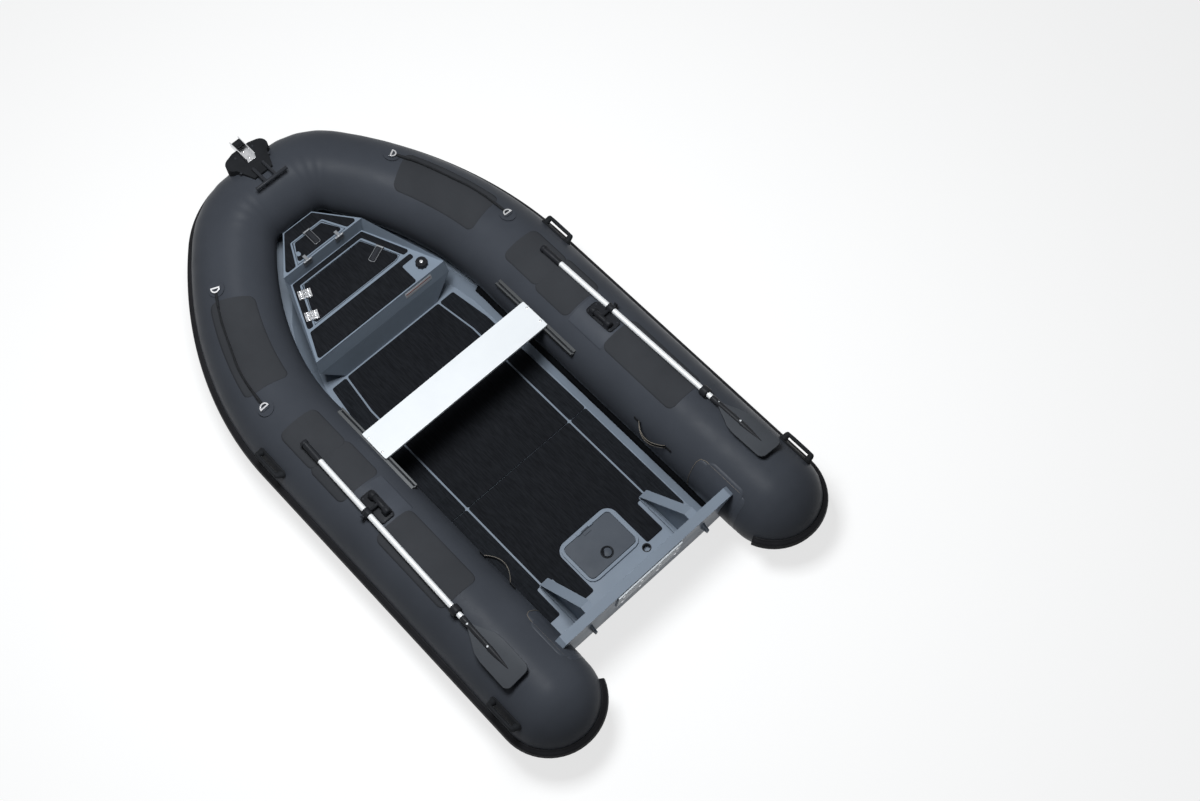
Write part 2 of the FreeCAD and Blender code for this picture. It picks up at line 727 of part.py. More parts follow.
knee_parts.append(pad(knees, item, "knee_width", "knee_foot"))
mirrored(knees, knee_parts, "knees_both")
register(knees, "transom_knees", transom_place)

# Motor pad: the white clamp plate on the transom's aft face
motor_pad = new_body("motor_pad")
item = sketch(motor_pad, "motor_pad_outline", "YZ_Plane", "-motor_pad_thickness")
outline(item, [("-motor_pad_half_width", "-motor_pad_drop - motor_pad_height"),
               ("motor_pad_half_width", "-motor_pad_drop - motor_pad_height"),
               ("motor_pad_half_width", "-motor_pad_drop"),
               ("-motor_pad_half_width", "-motor_pad_drop")])
pad(motor_pad, item, "motor_pad_thickness", "motor_pad_sheet")
register(motor_pad, "motor_pad", transom_place)

# Towing eyes: holed fins on the transom's aft face
eyes = new_body("towing_eyes")
eye_level = "-(transom_top - eye_level) / cos(transom_rake)"
item = sketch(eyes, "eye_outline", "XZ_Plane", "-(eye_offset + eye_thickness / 2)")
outline(item, [("0", eye_level + " + eye_height / 2"), ("-eye_reach", eye_level + " + eye_reach / 2"),
               ("-eye_reach", eye_level + " - eye_reach / 2"), ("0", eye_level + " - eye_height / 2")])
first = pad(eyes, item, "eye_thickness", "eye_fin")
item = sketch(eyes, "eye_hole", "XZ_Plane", "-(eye_offset + eye_thickness / 2)")
ring(item, "-eye_reach / 2", eye_level, "eye_hole_radius")
second = pocket(eyes, item, "eye_thickness", "eye_bore", reverse=True)
mirrored(eyes, [first, second], "eyes_both")
register(eyes, "towing_eyes", transom_place)

# Deck pads: foam sheets with joints between them
flat_plate("deck_pads", [
    [("pad_cross_joint + pad_seam / 2", "pad_joint / 2 - pad_joint_offset"),
     ("bend_start", "pad_joint / 2 - pad_joint_offset"),
     ("locker_aft - locker_rake - pad_joint", "-locker_foot_half_width"),
     ("locker_aft - locker_rake - pad_joint", "locker_foot_half_width"),
     ("bend_start", "pad_joint_offset - pad_joint / 2"),
     ("pad_cross_joint + pad_seam / 2", "pad_joint_offset - pad_joint / 2")],
    [("pad_notch_station", "pad_joint_offset - pad_joint / 2"),
     ("pad_notch_station", "pad_notch_offset"), ("pad_aft_end", "pad_notch_offset"),
     ("pad_aft_end", "hatch_half_width + pad_joint"), ("hatch_fore + pad_joint", "hatch_half_width + pad_joint"),
     ("hatch_fore + pad_joint", "-hatch_half_width - pad_joint"), ("pad_aft_end", "-hatch_half_width - pad_joint"),
     ("pad_aft_end", "-pad_notch_offset"), ("pad_notch_station", "-pad_notch_offset"),
     ("pad_notch_station", "pad_joint / 2 - pad_joint_offset"),
     ("pad_cross_joint - pad_seam / 2", "pad_joint / 2 - pad_joint_offset"),
     ("pad_cross_joint - pad_seam / 2", "pad_joint_offset - pad_joint / 2")],
], "floor_height", "pad_thickness")

flat_plate("side_pads", [
    [("side_pad_aft_end", "knee_offset + knee_width + 2 * pad_joint"),
     ("knee_length + 2 * transom_thickness", "knee_offset + knee_width + 2 * pad_joint"),
     ("knee_length + 2 * transom_thickness", "pad_joint_offset + pad_joint / 2"),
     ("pad_cross_joint - pad_seam / 2", "pad_joint_offset + pad_joint / 2"),
     ("pad_cross_joint - pad_seam / 2", "pad_outer"), ("side_pad_aft_end", "pad_outer")],
    [("pad_cross_joint + pad_seam / 2", "pad_joint_offset + pad_joint / 2"),
     ("bend_start", "pad_joint_offset + pad_joint / 2"),
     ("locker_aft - locker_rake - pad_joint", "locker_foot_half_width + pad_joint"),
     ("locker_aft - locker_rake - pad_joint", "locker_shoulder_half_width - 2 * pad_joint"),
     ("bend_start", "pad_outer - pad_joint"),
     ("pad_cross_joint + pad_seam / 2", "pad_outer")],
], "floor_height", "pad_thickness", both_sides=True)

# Floor hatch: a frame round the well and a lid that lifts at its aft edge
hatch_inner_aft = "hatch_aft + hatch_frame_width"
hatch_inner_fore = "hatch_fore - hatch_frame_width"
hatch_inner_side = "hatch_half_width - hatch_frame_width"


def rounded_outline(aft, fore, half, corner):
    """A rectangle across the centreline whose round corners are drawn in short chords."""
    points = []
    for end, inwards, side, out, turns in ((fore, " - ", PORT, "", (0, 30, 60, 90)), (aft, " + ", PORT, "", (90, 60, 30, 0)),
                                           (aft, " + ", STARBOARD, "-", (0, 30, 60, 90)),
                                           (fore, " - ", STARBOARD, "-", (90, 60, 30, 0))):
        for turn in turns:
            points.append(("%s%s(%s) * (1 - cos(%d))" % (end, inwards, corner, turn),
                           "%s(%s - (%s) * (1 - sin(%d)))" % (out, half, corner, turn)))
    return points


hinge_x = "hatch_fore - hatch_frame_width - hatch_gap / 2"
hinge_z = "floor_height + fit_gap + hatch_lid_thickness + hatch_knuckle_radius + running_clearance"
outer_end = "-(hatch_knuckle_half + running_clearance + hatch_knuckle_length)"


def hatch_strap(body, name, base, reach, start, length):
    """A flat strap from the hinge line onto the sheet at a level, its length across the boat."""
    item = sketch(body, name + "_outline", "XZ_Plane", start)
    outline(item, [(hinge_x, base), (hinge_x + reach, base), (hinge_x + reach, base + " + hatch_strap_thickness"),
                   (hinge_x, base + " + hatch_strap_thickness")])
    return pad(body, item, length, name)


def hatch_round(body, name, radius, start, length):
    """A round bar on the hinge line."""
    item = sketch(body, name + "_outline", "XZ_Plane", start)
    ring(item, hinge_x, hinge_z, radius)
    return pad(body, item, length, name)


frame_body = new_body("hatch_frame")
item = sketch(frame_body, "frame_outline", "XY_Plane", "floor_height")
outline(item, rounded_outline("hatch_aft", "hatch_fore", "hatch_half_width", "hatch_corner"))
outline(item, rounded_outline(hatch_inner_aft, hatch_inner_fore, hatch_inner_side, "hatch_corner / 2"))
pad(frame_body, item, "hatch_frame_height", "frame_ring")
knuckles = [
    hatch_strap(frame_body, "frame_strap", "floor_height + hatch_frame_height", " + hatch_frame_width - hatch_gap",
                outer_end, "hatch_knuckle_length"),
    hatch_round(frame_body, "frame_knuckle", "hatch_knuckle_radius", outer_end, "hatch_knuckle_length")]
item = sketch(frame_body, "frame_bore_outline", "XZ_Plane", outer_end)
ring(item, hinge_x, hinge_z, "hatch_pin_radius + fit_gap / 4")
knuckles.append(pocket(frame_body, item, "hatch_knuckle_length", "frame_bore", reverse=True))
mirrored(frame_body, knuckles, "frame_knuckles_both")
register(frame_body, "hatch_frame")

lid_body = new_body("hatch_lid")
item = sketch(lid_body, "lid_outline", "XY_Plane", "floor_height + fit_gap")
outline(item, rounded_outline(hatch_inner_aft + " + hatch_gap", hatch_inner_fore + " - hatch_gap",
                              hatch_inner_side + " - hatch_gap", "hatch_corner / 2"))
pad(lid_body, item, "hatch_lid_thickness", "lid_sheet_pad")
item = sketch(lid_body, "grip_outline", "XY_Plane", "floor_height + fit_gap + hatch_lid_thickness")
ring(item, "hatch_aft + grip_setback", "0", "grip_radius")
pocket(lid_body, item, "grip_depth", "grip_recess")
hatch_strap(lid_body, "lid_strap", "floor_height + fit_gap + hatch_lid_thickness", " - hatch_knuckle_half",
            "-hatch_knuckle_half", "2 * hatch_knuckle_half")
hatch_round(lid_body, "lid_knuckle", "hatch_knuckle_radius", "-hatch_knuckle_half", "2 * hatch_knuckle_half")
hatch_round(lid_body, "lid_pin", "hatch_pin_radius", outer_end,
            "2 * (hatch_knuckle_half + running_clearance + hatch_knuckle_length)")
register(lid_body, "hatch_lid")

drain_base = Vector(dim.drain_station, -dim.drain_offset, dim.floor_height - dim.drain_depth + dim.fit_gap)
drain_outer = Part.makeCylinder(dim.drain_radius + dim.drain_wall - dim.fit_gap, dim.drain_depth, drain_base)
drain = drain_outer.cut(Part.makeCylinder(dim.drain_radius, dim.drain_depth, drain_base))


# Bow locker: folded sheet with a main deck, a step up to the fore deck and side rims
def level_wire(rows, z):
    """A closed plan outline from its port corners, mirrored, at one height."""
    port = [Vector(x, y, z) for x, y in rows]
    other = [Vector(x, -y, z) for x, y in reversed(rows)]
    return Part.makePolygon(port + other + [port[0]])


def locker_rows(aft, aft_half, fore, fore_half, inset):
    return [(aft + inset, aft_half - inset), (fore - inset, fore_half - inset)]


def locker_body(inset, top_drop):
    """The locker's main box, from the floor to the main deck."""
    floor = dim.floor_height + (inset if inset else dim.fit_gap)
    foot_fore = dim.step_station - dim.locker_rake
    rows = [
        level_wire(locker_rows(dim.locker_aft - dim.locker_rake, dim.locker_foot_half_width,
                               foot_fore, dim.lid_fore_half_width / 2, inset), floor),
        level_wire(locker_rows(dim.locker_aft - dim.locker_rake / 2, dim.locker_shoulder_half_width,
                               dim.step_station, dim.lid_fore_half_width, inset),
                   dim.locker_shoulder_height),
        level_wire(locker_rows(dim.locker_aft, dim.locker_half_width, dim.step_station,
                               dim.rim_foot_half_width, inset), dim.locker_top - top_drop)]
    return Part.makeLoft(rows, True, True)


def lid_opening_rows(grow):
    """Corners of the main lid's opening, clockwise from its fore port corner."""
    return [Vector(dim.lid_fore + grow, dim.lid_fore_half_width + grow, 0),
            Vector(dim.lid_fore + grow, -dim.lid_fore_half_width - grow, 0),
            Vector(dim.lid_starboard_station, -dim.lid_starboard_half_width - grow, 0),
            Vector(dim.lid_aft - grow, -dim.lid_starboard_half_width + dim.hinge_leaf_width - grow, 0),
            Vector(dim.lid_aft - grow, dim.lid_port_half_width + grow, 0)]


def fore_opening_rows(grow):
    return [Vector(dim.fore_lid_aft - grow, dim.fore_lid_aft_half_width + grow, 0),
            Vector(dim.fore_lid_fore + grow, dim.fore_lid_fore_half_width + grow, 0),
            Vector(dim.fore_lid_fore + grow, -dim.fore_lid_fore_half_width - grow, 0),
            Vector(dim.fore_lid_aft - grow, -dim.fore_lid_aft_half_width - grow, 0)]


def prism(rows, bottom, height):
    """A straight prism on a plan outline."""
    wire = Part.makePolygon([Vector(p.x, p.y, bottom) for p in rows + rows[:1]])
    return Part.Face(wire).extrude(Vector(0, 0, height))


def fore_block(inset):
    """The raised fore deck, a box in front of the step."""
    bottom = dim.fore_block_bottom + inset
    rows = [Vector(dim.step_station + inset, dim.step_half_width - inset, 0),
            Vector(dim.fore_deck_front - inset, dim.fore_deck_front_half_width - inset, 0),
            Vector(dim.fore_deck_front - inset, inset - dim.fore_deck_front_half_width, 0),
            Vector(dim.step_station + inset, inset - dim.step_half_width, 0)]
    return prism(rows, bottom, dim.fore_deck_top - inset - bottom)


def side_rim(side):
    """The sloping band beside the main deck, low aft and as high as the fore deck forward."""
    def corner(x, y, z):
        return Vector(x, y * side, z)

    low = dim.locker_top - dim.locker_sheet
    fore = [corner(dim.step_station, dim.rim_foot_half_width, low),
            corner(dim.step_station, dim.step_half_width, low),
            corner(dim.step_station, dim.step_half_width, dim.fore_deck_top)]
    aft = [corner(dim.locker_aft, dim.locker_half_width - dim.rim_aft_height, low),
           corner(dim.locker_aft, dim.locker_half_width, low),
           corner(dim.locker_aft, dim.locker_half_width, dim.locker_top + dim.rim_aft_height)]
    wires = [Part.makePolygon(aft + aft[:1]), Part.makePolygon(fore + fore[:1])]
    return Part.makeLoft(wires, True, True)


locker = locker_body(0, 0).fuse([fore_block(0), side_rim(PORT), side_rim(STARBOARD)])
locker = locker.cut(locker_body(dim.locker_sheet, dim.locker_sheet))
locker = locker.cut(fore_block(dim.locker_sheet))
locker = locker.cut(prism(lid_opening_rows(0), dim.locker_top - dim.overrun, 2 * dim.overrun))
locker = locker.cut(prism(fore_opening_rows(0), dim.fore_deck_top - dim.overrun / 2, dim.overrun))
locker = locker.cut(Part.makeCylinder(dim.cap_radius / 2 + dim.fit_gap, dim.overrun,
                                      Vector(dim.cap_station, -dim.cap_offset,
                                             dim.locker_top - dim.overrun / 2)))
locker = locker.cut([tube_room, upper_hull])
low_corner = Vector(-dim.stem_station, -2 * dim.tube_half_beam, -4 * dim.tube_half_beam)
under_deck = Part.makeBox(4 * dim.stem_station, 4 * dim.tube_half_beam, 4 * dim.tube_half_beam,
                          low_corner + Vector(0, 0, dim.locker_top - dim.locker_sheet))
past_step = Part.makeBox(4 * dim.stem_station, 4 * dim.tube_half_beam, 8 * dim.tube_half_beam,
                         low_corner + Vector(dim.stem_station + dim.step_station, 0, 0))
feature("locker_walls", locker.common(under_deck).cut(past_step))
feature("locker_deck", locker.cut([under_deck, past_step]))
feature("fore_locker", locker.common(past_step))

# Locker lids and the foam on them
feature("main_lid", prism(lid_opening_rows(-dim.lid_gap), dim.locker_top - dim.lid_sheet, dim.lid_sheet))
feature("main_lid_foam", prism(lid_opening_rows(-2 * dim.lid_gap), dim.locker_top, dim.pad_thickness))
feature("fore_lid", prism(fore_opening_rows(-dim.lid_gap), dim.fore_deck_top - dim.lid_sheet, dim.lid_sheet))
feature("fore_lid_foam", prism(fore_opening_rows(-3 * dim.lid_gap), dim.fore_deck_top, dim.pad_thickness))

aft_foam = [Vector(dim.locker_aft + 2 * dim.lid_gap, dim.locker_half_width - 3 * dim.rim_aft_height, 0),
            Vector(dim.lid_aft - dim.pad_joint - 2 * dim.lid_gap, dim.lid_port_half_width + dim.overrun, 0),
            Vector(dim.lid_aft - dim.pad_joint - 2 * dim.lid_gap, -dim.lid_port_half_width - dim.foam_strip, 0),
            Vector(dim.lid_aft - dim.pad_joint - dim.foam_strip, -dim.lid_port_half_width - dim.foam_strip, 0),
            Vector(dim.lid_aft - dim.pad_joint - dim.foam_strip, -dim.lid_port_half_width + dim.overrun, 0),
            Vector(dim.locker_aft + 2 * dim.lid_gap, -dim.lid_port_half_width + dim.overrun, 0)]
foam_rows = [
    [Vector(dim.step_station - 2 * dim.lid_gap, dim.rim_foot_half_width - 2 * dim.lid_gap, 0),
     Vector(dim.step_station - 2 * dim.lid_gap, 2 * dim.lid_gap - dim.rim_foot_half_width, 0),
     Vector(dim.lid_aft, -dim.lid_port_half_width - dim.overrun, 0),
     Vector(dim.lid_aft, -dim.lid_port_half_width - 2 * dim.lid_gap, 0),
     Vector(dim.lid_fore + 2 * dim.lid_gap, -dim.lid_fore_half_width - 3 * dim.lid_gap, 0),
     Vector(dim.lid_fore + 2 * dim.lid_gap, dim.lid_fore_half_width + 3 * dim.lid_gap, 0),
     Vector(dim.lid_aft, dim.lid_port_half_width + 3 * dim.lid_gap, 0),
     Vector(dim.lid_aft, dim.lid_port_half_width + dim.overrun, 0)],
    aft_foam]
main_foam = [prism(rows, dim.locker_top, dim.pad_thickness) for rows in foam_rows]
fore_frame = [Vector(dim.fore_lid_aft, dim.step_half_width - 6 * dim.lid_gap, 0),
              Vector(dim.fore_deck_front - 4 * dim.lid_gap, dim.fore_deck_front_half_width, 0),
              Vector(dim.fore_deck_front - 4 * dim.lid_gap, -dim.fore_deck_front_half_width, 0),
              Vector(dim.fore_lid_aft, 6 * dim.lid_gap - dim.step_half_width, 0)]
fore_foam = prism(fore_frame, dim.fore_deck_top, dim.pad_thickness)
fore_hole = [Vector(dim.step_station, dim.fore_lid_aft_half_width + 5 * dim.lid_gap, 0)]
fore_hole += fore_opening_rows(2 * dim.lid_gap)[1:3]
fore_hole += [Vector(dim.step_station, -dim.fore_lid_aft_half_width - 5 * dim.lid_gap, 0)]
fore_foam = fore_foam.cut(prism(fore_hole, dim.fore_deck_top - dim.overrun, 2 * dim.overrun))
feature("locker_foam", Part.makeCompound(main_foam + fore_foam.Solids))


# Hinges: a fixed leaf with the outer knuckles, a moving leaf with the middle one and the pin
def hinge_pair(length):
    """Fixed and moving halves of a butt hinge along +X, the fixed leaf towards +Y."""
    third = length / 3
    radius = dim.hinge_knuckle_radius
    base = -radius

    def leaf(side):
        sheet_part = Part.makeBox(length, dim.hinge_leaf_width - radius, dim.hinge_leaf_thickness,
                                  Vector(0, radius if side > 0 else -dim.hinge_leaf_width, base))
        return sheet_part

    def knuckle(start, size, side):
        barrel = Part.makeCylinder(radius, size, Vector(start, 0, 0), Vector(1, 0, 0))
        web = Part.makeBox(size, radius + dim.lid_gap, dim.hinge_leaf_thickness,
                           Vector(start, 0 if side > 0 else -radius - dim.lid_gap, base))
        return barrel.fuse(web)

    gap = dim.running_clearance
    bore = Part.makeCylinder(dim.hinge_pin_radius + dim.fit_gap / 4, length, Vector(0, 0, 0), Vector(1, 0, 0))
    fixed = leaf(1).fuse([knuckle(0, third - gap, 1), knuckle(2 * third + gap, third - gap, 1)]).cut(bore)
    pin = Part.makeCylinder(dim.hinge_pin_radius, length, Vector(0, 0, 0), Vector(1, 0, 0))
    moving = leaf(-1).fuse([knuckle(third, third, -1), pin])
    return fixed, moving


hinge_line = Vector(dim.hinge_fore_station - dim.hinge_aft_station,
                    dim.hinge_fore_offset - dim.hinge_aft_offset, 0)
hinge_heading = math.degrees(math.atan2(hinge_line.y, hinge_line.x))
hinge_level = dim.locker_top + dim.pad_thickness + dim.hinge_knuckle_radius + dim.fit_gap
fixed_leaves, moving_leaves = [], []
for x, y in ((dim.hinge_aft_station, dim.hinge_aft_offset), (dim.hinge_fore_station, dim.hinge_fore_offset)):
    halves = hinge_pair(dim.hinge_leaf_length)
    for half, group in zip(halves, (fixed_leaves, moving_leaves)):
        half.translate(Vector(-dim.hinge_leaf_length / 2, 0, 0))
        half.rotate(Vector(0, 0, 0), Vector(0, 0, 1), hinge_heading)
        half.translate(Vector(x, y, hinge_level))
        group.append(half)
feature("main_hinge_fixed", Part.makeCompound(fixed_leaves))
feature("main_hinge_moving", Part.makeCompound(moving_leaves))

# Step hinges: the fixed leaf hangs on the step's face, the moving leaf lies on the fore lid
step_axis_x = dim.step_station - dim.hinge_knuckle_radius - dim.fit_gap
step_axis_z = dim.fore_deck_top + dim.hinge_knuckle_radius + dim.fit_gap
fixed_leaves, moving_leaves = [], []
for side in (PORT, STARBOARD):
    start = side * dim.step_hinge_offset - dim.step_hinge_length / 2
    third = dim.step_hinge_length / 3
    gap = dim.running_clearance
    radius = dim.hinge_knuckle_radius
    drop = Part.makeBox(dim.hinge_leaf_thickness, dim.step_hinge_length, dim.step_hinge_drop,
                        Vector(step_axis_x + radius - dim.hinge_leaf_thickness, start,
                               dim.fore_deck_top - dim.step_hinge_drop))
    barrels = [Part.makeCylinder(radius, third - gap, Vector(step_axis_x, start + shift, step_axis_z),
                                 Vector(0, 1, 0)) for shift in (0, 2 * third + gap)]
    webs = [Part.makeBox(dim.hinge_leaf_thickness, third - gap, 2 * radius,
                         Vector(step_axis_x + radius - dim.hinge_leaf_thickness, start + shift,
                                step_axis_z - 2 * radius)) for shift in (0, 2 * third + gap)]
    bore = Part.makeCylinder(dim.hinge_pin_radius + dim.fit_gap / 4, dim.step_hinge_length,
                             Vector(step_axis_x, start, step_axis_z), Vector(0, 1, 0))
    fixed_leaves.append(drop.fuse(barrels + webs).cut(bore))
    middle = Part.makeCylinder(radius, third, Vector(step_axis_x, start + third, step_axis_z), Vector(0, 1, 0))
    strap = Part.makeBox(dim.hinge_leaf_width, third, dim.hinge_leaf_thickness / 2,
                         Vector(step_axis_x, start + third, step_axis_z + radius - dim.hinge_leaf_thickness / 2))
    foot = Part.makeBox(dim.hinge_leaf_width / 2, third, 2 * radius - dim.pad_thickness,
                        Vector(step_axis_x + dim.hinge_leaf_width / 2, start + third,
                               dim.fore_deck_top + dim.pad_thickness + dim.fit_gap))
    pin = Part.makeCylinder(dim.hinge_pin_radius, dim.step_hinge_length,
                            Vector(step_axis_x, start, step_axis_z), Vector(0, 1, 0))
    moving_leaves.append(middle.fuse([strap, foot, pin]))
feature("fore_hinge_fixed", Part.makeCompound(fixed_leaves))
feature("fore_hinge_moving", Part.makeCompound(moving_leaves))


# Latches: folding handles on each lid's free edge
def latch(centre, heading):
    """A folded latch handle on its round-ended plate, its length along its own +X."""
    def bar(length, width, height):
        """A flat bar with round ends, standing on the lid."""
        straight = length - width
        middle = Part.makeBox(straight, width, height, Vector(-straight / 2, -width / 2, 0))
        ends = [Part.makeCylinder(width / 2, height, Vector(x, 0, 0)) for x in (-straight / 2, straight / 2)]
        return middle.fuse(ends)

    plate = bar(dim.latch_length, dim.latch_width, dim.pad_thickness)
    handle = bar(dim.latch_body_length, dim.latch_body_width, dim.latch_height)
    button = Part.makeCylinder(dim.latch_button_radius, dim.latch_height / 2,
                               Vector((dim.latch_length - dim.latch_width) / 2, 0, 0))
    shape = plate.fuse([handle, button]).removeSplitter()
    shape.rotate(Vector(0, 0, 0), Vector(0, 0, 1), heading)
    shape.translate(centre)
    return shape


edge_fore = Vector(dim.lid_fore, -dim.lid_fore_half_width, 0)
edge_aft = Vector(dim.lid_starboard_station, -dim.lid_starboard_half_width, 0)
edge_way = (edge_fore - edge_aft).normalize()
square_way = Vector(-edge_way.y, edge_way.x, 0)
latch_place = (edge_fore + edge_aft) * 0.5 + square_way * (dim.latch_length / 2)
latch_place.z = dim.locker_top + dim.pad_thickness + dim.fit_gap
feature("main_latch", latch(latch_place, math.degrees(math.atan2(-square_way.y, -square_way.x))))
feature("fore_latch", latch(Vector(dim.fore_lid_fore - dim.latch_length / 2, 0,
                                   dim.fore_deck_top + dim.pad_thickness + dim.fit_gap), 0))

# Filler cap on the main deck
cap_foot = Vector(dim.cap_station, -dim.cap_offset, dim.locker_top + dim.fit_gap)
cap = Part.makeCylinder(dim.cap_radius, dim.cap_height, cap_foot)
neck = Part.makeCylinder(dim.cap_radius / 2, dim.overrun / 2,
                         cap_foot - Vector(0, 0, dim.overrun / 2))
feature("deck_caps", Part.makeCompound([cap.fuse(neck), drain]))

# Bow fitting: a moulded pad, a steel channel with its roller and a cleat
lobe = Vector(dim.bow_pad_front - dim.bow_lobe_setback, dim.bow_pad_half_width - dim.bow_lobe_radius, 0)
bow_plan = [Vector(dim.bow_pad_front, dim.bow_pad_front_half_width, 0)]
bow_plan += [lobe + Vector(math.cos(math.radians(turn)), math.sin(math.radians(turn)), 0) * dim.bow_lobe_radius
             for turn in range(20, 161, 20)]
bow_plan.append(Vector(dim.bow_pad_aft, dim.bow_pad_aft_half_width, 0))
bow_plan += [Vector(p.x, -p.y, 0) for p in reversed(bow_plan)]
bow_pad = prism(bow_plan, dim.bow_pad_top - dim.bow_pad_thickness, dim.bow_pad_thickness)
feature("bow_pad", bow_pad.cut(tube_room))

channel_floor = dim.bow_pad_top + dim.fit_gap
channel_length = dim.channel_front - dim.channel_aft
outer_box = Part.makeBox(channel_length, 2 * dim.channel_half_width, dim.channel_height,
                         Vector(dim.channel_aft, -dim.channel_half_width, channel_floor))
inner_box = Part.makeBox(channel_length, 2 * (dim.channel_half_width - dim.channel_sheet), dim.channel_height,
                         Vector(dim.channel_aft, dim.channel_sheet - dim.channel_half_width,
                                channel_floor + dim.channel_sheet))
roller_axis = Vector(dim.channel_front - dim.roller_setback, -dim.channel_half_width,
                     channel_floor + dim.channel_sheet + dim.roller_radius + 2 * dim.running_clearance)
roller_pin = Part.makeCylinder(dim.roller_pin_radius, 2 * dim.channel_half_width, roller_axis, Vector(0, 1, 0))
feature("bow_channel", outer_box.cut(inner_box).fuse(roller_pin))
roller_half = dim.channel_half_width - dim.channel_sheet - 2 * dim.running_clearance
roller_start = Vector(roller_axis.x, -roller_half, roller_axis.z)
roller = Part.makeCylinder(dim.roller_radius, 2 * roller_half, roller_start, Vector(0, 1, 0))
feature("bow_roller", roller.cut(Part.makeCylinder(dim.roller_pin_radius + dim.fit_gap / 4, 2 * roller_half,
                                                   roller_start, Vector(0, 1, 0))))

cleat_parts = [cylinder_between(Vector(dim.cleat_bar_station, -dim.cleat_half_length, dim.cleat_height),
                                Vector(dim.cleat_bar_station, dim.cleat_half_length, dim.cleat_height),
                                dim.cleat_radius)]
for side in (PORT, STARBOARD):
    toe = Vector(dim.bow_pad_aft + dim.overrun, side * dim.cleat_leg_offset,
                 dim.bow_pad_top + dim.cleat_leg_radius + dim.fit_gap)
    cleat_parts.append(cylinder_between(toe, Vector(dim.cleat_bar_station, side * dim.cleat_leg_offset,
                                                    dim.cleat_height), dim.cleat_leg_radius))
feature("bow_cleat", cleat_parts[0].fuse(cleat_parts[1:]))


# Lifeline rings: a round patch on the skin and a steel D-ring standing on it
def ring_frame(share):
    """Place with its +Z square to the skin and its +X along the tube, at a share of the bend."""
    straight, side, corner, flat = run_lengths()
    along = straight + share * (side + corner + flat)
    before, here, after = (Station(along + shift).skin(dim.ring_angle, 2 * dim.fit_gap)
                           for shift in (-dim.ring_radius, 0, dim.ring_radius))
    ahead = (after - before).normalize()
    turn = math.radians(dim.ring_angle)
    normal = Station(along).outward() * math.cos(turn) + Vector(0, 0, math.sin(turn))
    normal = (normal - ahead * normal.dot(ahead)).normalize()
    return Placement(here, Rotation(ahead, normal.cross(ahead), normal, "XYZ"))


def ring_patch():
    disc = Part.makeCylinder(dim.ring_patch_radius, dim.ring_patch_thickness)
    tab = Part.makeBox(dim.ring_radius, 2 * dim.ring_radius, dim.ring_patch_thickness,
                       Vector(-dim.ring_radius / 2, -dim.ring_radius, dim.ring_patch_thickness))
    return disc.fuse(tab)


def dee_ring(way):
    """A D-shaped ring lying just above its patch, its bow along the tube one way or the other."""
    wire, reach = dim.ring_wire_radius, dim.ring_radius
    level = 2 * dim.ring_patch_thickness + dim.fit_gap

    def dee(grow):
        side, foot = reach + grow, -grow
        return Part.Face(Part.Wire([
            Part.LineSegment(Vector(foot * way, -side, level), Vector(foot * way, side, level)).toShape(),
            Part.LineSegment(Vector(foot * way, side, level), Vector(0, side, level)).toShape(),
            Part.Arc(Vector(0, side, level), Vector(side * way, 0, level), Vector(0, -side, level)).toShape(),
            Part.LineSegment(Vector(0, -side, level), Vector(foot * way, -side, level)).toShape()]))

    bow = Part.Face(Part.Wire([
        Part.LineSegment(Vector(wire * way, wire - reach, level), Vector(wire * way, reach - wire, level)).toShape(),
        Part.Arc(Vector(wire * way, reach - wire, level), Vector((reach - wire) * way, 0, level),
                 Vector(wire * way, wire - reach, level)).toShape()]))
    up = Vector(0, 0, 2 * wire)
    return dee(wire).extrude(up).cut(bow.extrude(up))


ring_places = [(ring_frame(dim.ring_fore_share), -1), (ring_frame(dim.ring_aft_share), 1)]
patches, rings = [], []
for place, way in ring_places:
    patch, dee = ring_patch(), dee_ring(way)
    patch.Placement = place
    dee.Placement = place
    patches.append(both(patch))
    rings.append(both(dee))
feature("ring_patches", Part.makeCompound(patches))
feature("dee_rings", Part.makeCompound(rings))

# Lifelines: a route of straight runs joined by tangent arcs, chosen by hand
ROPE_PORT = [(1650.8, 690.8, 413.4), (1745.4, 682.1, 414.1), (1845.0, 665.0, 417.0),
             (1936.0, 630.0, 430.0), (2023.0, 597.0, 442.5), (2105.4, 560.8, 458.3), (2180.6, 514.4, 475.2)]


def rope(points, diameter, share=0.45):
    """A round line of straight runs joined by the largest arcs that a share of a run allows."""
    pieces, radii, length = [], [], 0
    start = points[0]
    for before, here, after in zip(points, points[1:], points[2:]):
        first, second = here - before, after - here
        cut = share * min(first.Length, second.Length)
        turn = first.getAngle(second)
        radius = cut / math.tan(turn / 2)
        radii.append(radius)
        length += (here - start).Length - cut + radius * turn
        first.normalize()
        second.normalize()
        entry = here - first * cut
        axis = first.cross(second).normalize()
        centre = entry + axis.cross(first) * radius
        pieces.append(cylinder_between(start, entry, diameter / 2))
        section = Part.Face(Part.Wire([Part.makeCircle(diameter / 2, entry, first)]))
        pieces.append(section.revolve(centre, axis, math.degrees(turn)))
        start = here + second * cut
    pieces.append(cylinder_between(start, points[-1], diameter / 2))
    length += (points[-1] - start).Length
    solid = pieces[0].fuse(pieces[1:])
    print("rope length %.1f, volume share %.4f, radii %s"
          % (length, solid.Volume / (length * math.pi * diameter ** 2 / 4),
             ", ".join("%.0f" % r for r in radii)))
    return solid


for name, side in SIDES:
    route = [Vector(x, side * y, z) for x, y, z in ROPE_PORT]
    feature("lifeline_" + name, rope(route, dim.rope_diameter))


